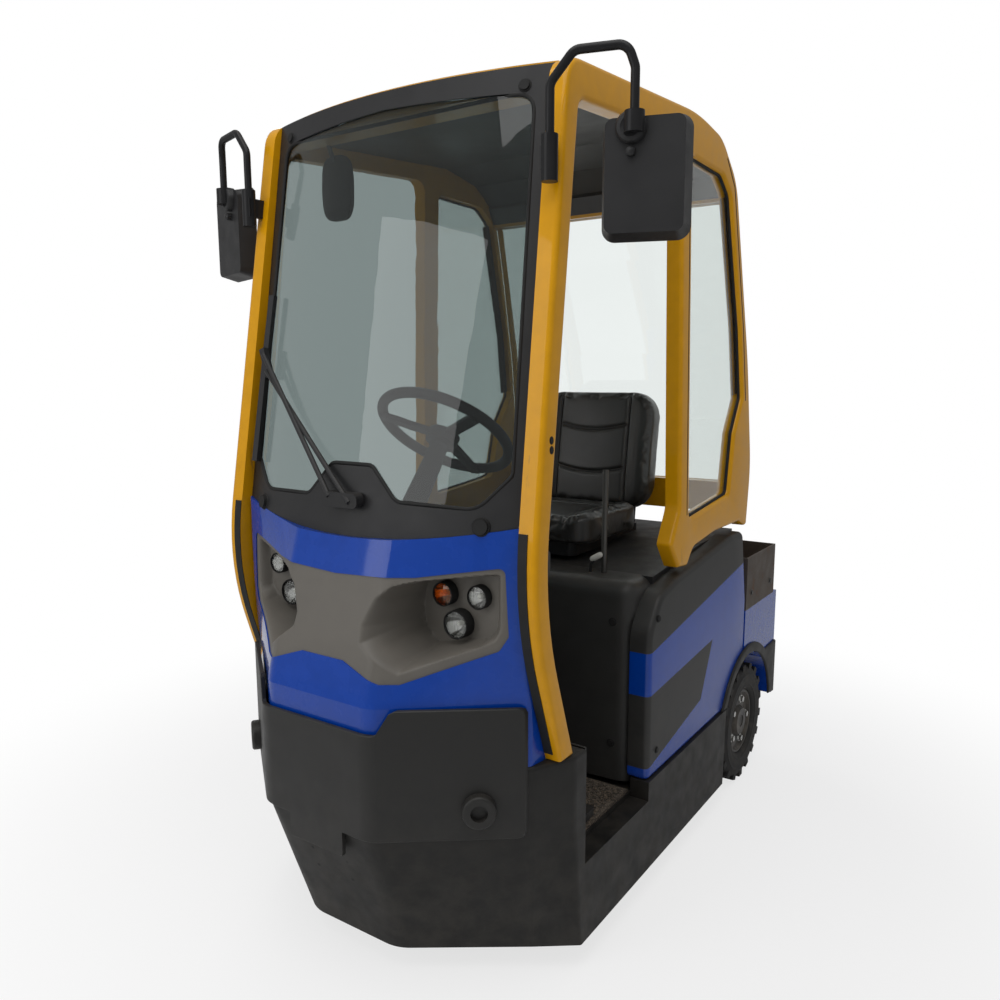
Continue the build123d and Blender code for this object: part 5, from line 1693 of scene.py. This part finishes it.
class TRACTOR_OT_cab_fittings(bpy.types.Operator):
    """Hang the inner mirror and put the pale knob on the console"""

    bl_idname = "tractor.cab_fittings"
    bl_label = "Cab fittings"

    def execute(self, context):
        def boxed(value):
            """Sine or cosine pushed out towards a box."""
            return abs(value) ** 0.6 * (1 if value > 0 else -1)

        half_x, half_z = CAB_MIRROR_HALF
        outline = [(half_x * boxed(cos(a)), half_z * boxed(sin(a))) for a in turns(40)]
        mirror = bmesh.new()
        capped(mirror, [
            [CAB_MIRROR + Vector((x * share, y, z * share)) for x, z in outline]
            for share, y in ((0.80, -0.016), (1.0, -0.006), (1.0, 0.006), (0.93, 0.010))
        ])
        bends = ((0, -0.010, 0.06), (0, -0.030, 0.105), (0, -0.045, 0.110))
        stalk = [CAB_MIRROR + Vector(bend) for bend in bends]
        add_form(mirror, tube(stalk, 0.006, 10, False))
        disc = [
            (-0.006, 0.0), (-0.006, 0.031), (0.010, 0.031), (0.015, 0.027), (0.016, 0.020), (0.0145, 0.018),
            (0.0145, 0.0),
        ]
        boss = [(-0.006, 0.0), (-0.006, 0.010), (0.012, 0.009), (0.016, 0.005), (0.017, 0.0)]
        knuckles = bmesh.new()
        for side in SIDES:
            middle, _ = seat_on("mirror_heads", (side * KNUCKLE_X, -1.3, KNUCKLE_Z), (0, 1, 0))
            turn = Matrix.Rotation(radians(90), 4, "X") @ Matrix.Rotation(side * radians(18), 4, "Y")
            face = Matrix.Translation(middle) @ turn
            add_form(knuckles, turned(disc, 40, face))
            add_form(knuckles, turned(boss, 20, Matrix.Translation((0, 0, -0.045)) @ face))
        foot, _ = seat_on("seat_console", KNOB_PLACE, (0, 0, -1))
        stem = [foot + Vector(step) for step in ((0, 0, -0.002), (0.002, 0, 0.022), (0.014, 0, 0.040))]
        lie = Vector((0, 0, 1)).rotation_difference(Vector((0.86, 0.1, 0.5))).to_matrix().to_4x4()
        grip = [
            (-0.004, 0.0), (-0.003, 0.005), (0.001, 0.0078), (0.008, 0.0085), (0.026, 0.0085),
            (0.033, 0.0072), (0.037, 0.004), (0.038, 0.0),
        ]
        knob = turned(grip, 28, Matrix.Translation(foot + Vector((0.004, 0, 0.036))) @ lie)
        for name, bm, finish in (
            ("cab_mirror", mirror, "black_plastic"),
            ("mirror_knuckles", knuckles, "black_plastic"),
            ("knob_stem", tube(stem, 0.005, 12, False), "black_plastic"),
            ("pale_knob", knob, "pale_plastic"),
        ):
            add_piece(name, mesh_from(name, bm, 40), finish)
        return {"FINISHED"}


class TRACTOR_OT_seat(bpy.types.Operator):
    """Sew the seat cushion and back rest as padded pieces with piping and stitches"""

    bl_idname = "tractor.seat"
    bl_label = "Seat pads"

    def execute(self, context):
        c, s = cos(BACK_LEAN), sin(BACK_LEAN)
        lean = Matrix(((1, 0, 0, 0), (0, s, -c, 0), (0, c, s, 0), (0, 0, 0, 1)))
        upright = Matrix.Translation(BACK_ORIGIN) @ lean
        tree = stitch_tree()
        values = {
            "Pitch": context.scene.tractor_sizes.stitch_pitch, "Radius": 0.0008,
            "Material": FINISHES["thread"],
        }
        for node, pad, place in (
            ("seat_cushion", CUSHION, Matrix.Translation(CUSHION_PLACE)),
            ("seat_back", BACK, upright @ Matrix.Translation(BACK_PLACE)),
        ):
            mesh = pad_mesh(f"{node}_pad", pad)
            lines = seam_lines(mesh, pad)
            mesh.transform(place)
            piece = add_piece(f"{node}_pad", mesh, "vinyl")
            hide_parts(node)
            bm = bmesh.new()
            points, links = [], []
            for line in lines:
                add_form(bm, tube([place @ p for p in line], 0.0022, 8, False))
                start = len(points)
                points += [place @ (p + Vector((0.007 if p.x > 0 else -0.007, 0, 0.0012))) for p in line]
                links += [(k, k + 1) for k in range(start, len(points) - 1)]
            add_piece(f"{node}_pad_piping", mesh_from("piping", bm, 60), "vinyl")
            edges = bpy.data.meshes.new("stitch_lines")
            edges.from_pydata(points, links, [])
            add_piece(f"{node}_pad_stitches", tree_mesh(tree, edges, values, "stitches"), None)
        return {"FINISHED"}


class TRACTOR_OT_stage(bpy.types.Operator):
    """Lay the pale floor and set the light and the camera"""

    bl_idname = "tractor.stage"
    bl_label = "Stage"

    def execute(self, context):
        scene = context.scene
        stage = scene.tractor_stage
        scene.view_settings.view_transform = "Standard"
        bm = bmesh.new()
        bmesh.ops.create_grid(bm, x_segments=2, y_segments=2, size=40.0)
        mesh = bpy.data.meshes.new("studio_floor")
        bm.to_mesh(mesh)
        bm.free()
        floor = bpy.data.objects.new("studio_floor", mesh)
        scene.collection.objects.link(floor)
        paint = Finish("floor_pale")
        paint.shade({"Base Color": (0.86, 0.86, 0.86), "Roughness": 0.7})
        away = paint.add("ShaderNodeVectorMath", {0: paint.place()}, operation="LENGTH").outputs["Value"]
        far = paint.math("MULTIPLY_ADD", paint.ramp(away, 1.0, 2.4), 0.28, 0.72)
        glow = paint.add("ShaderNodeEmission", {"Color": WHITE})
        paint.surface("Material Output", paint.math("MULTIPLY", far, paint.seen()), paint.shader, glow)
        mesh.materials.append(paint.material)
        world = bpy.data.worlds.new("studio_room")
        scene.world = world
        world.use_nodes = True
        sky = Sheet(world.node_tree)
        room = sky.nodes["Background"]
        sky.feed(room.inputs["Color"], WHITE)
        sky.feed(room.inputs["Strength"], stage.room_light)
        white = sky.add("ShaderNodeBackground", {"Color": WHITE, "Strength": 1.0})
        sky.surface("World Output", sky.seen(), room, white)
        for name, spot, aim, width, share in STUDIO_LAMPS:
            light = bpy.data.lights.new(name, "AREA")
            light.energy = stage.key_light * share
            light.size = width
            lamp = bpy.data.objects.new(name, light)
            lamp.location = spot
            lamp.rotation_euler = (Vector(aim) - Vector(spot)).to_track_quat("-Z", "Y").to_euler()
            lamp.visible_camera = False
            lamp.visible_transmission = False
            scene.collection.objects.link(lamp)
        data = bpy.data.cameras.new("photo_camera")
        data.sensor_width = 36.0
        data.lens = stage.lens
        data.shift_x, data.shift_y = CAMERA_SHIFT
        data.clip_end = 200.0
        camera = bpy.data.objects.new("photo_camera", data)
        camera.location = stage.camera_place
        camera.rotation_euler = (pi / 2 - stage.camera_pitch, 0.0, stage.camera_yaw)
        scene.collection.objects.link(camera)
        scene.camera = camera
        return {"FINISHED"}


class TRACTOR_PT_panel(bpy.types.Panel):
    """Settings and steps of the tow tractor's finish"""

    bl_idname = "TRACTOR_PT_panel"
    bl_label = "Tow tractor"
    bl_space_type = "VIEW_3D"
    bl_region_type = "UI"
    bl_category = "Tow tractor"

    def draw(self, context):
        layout = self.layout
        scene = context.scene
        for group in (scene.tractor_colours, scene.tractor_sizes, scene.tractor_stage):
            column = layout.column(align=True)
            for name in group.__annotations__:
                column.prop(group, name)
        column = layout.column(align=True)
        for operator in STEPS:
            column.operator(operator.bl_idname)


STEPS = (
    TRACTOR_OT_finishes,
    TRACTOR_OT_bodywork,
    TRACTOR_OT_tyres,
    TRACTOR_OT_wheel_fittings,
    TRACTOR_OT_mat_studs,
    TRACTOR_OT_fasteners,
    TRACTOR_OT_lamps,
    TRACTOR_OT_seals,
    TRACTOR_OT_cab_fittings,
    TRACTOR_OT_seat,
    TRACTOR_OT_stage,
)
CLASSES = (TractorColours, TractorSizes, TractorStage, *STEPS, TRACTOR_PT_panel)


def register():
    """Register the classes and hang the settings on the scene."""
    for item in CLASSES:
        bpy.utils.register_class(item)
    bpy.types.Scene.tractor_colours = bpy.props.PointerProperty(type=TractorColours)
    bpy.types.Scene.tractor_sizes = bpy.props.PointerProperty(type=TractorSizes)
    bpy.types.Scene.tractor_stage = bpy.props.PointerProperty(type=TractorStage)


def unregister():
    """Take the settings and classes away again."""
    del bpy.types.Scene.tractor_stage
    del bpy.types.Scene.tractor_sizes
    del bpy.types.Scene.tractor_colours
    for item in reversed(CLASSES):
        bpy.utils.unregister_class(item)


def main():
    """Run every step in order."""
    register()
    bpy.ops.tractor.finishes()
    bpy.ops.tractor.bodywork()
    bpy.ops.tractor.tyres()
    bpy.ops.tractor.wheel_fittings()
    bpy.ops.tractor.mat_studs()
    bpy.ops.tractor.fasteners()
    bpy.ops.tractor.lamps()
    bpy.ops.tractor.seals()
    bpy.ops.tractor.cab_fittings()
    bpy.ops.tractor.seat()
    bpy.ops.tractor.stage()


if __name__ == "__main__":
    main()
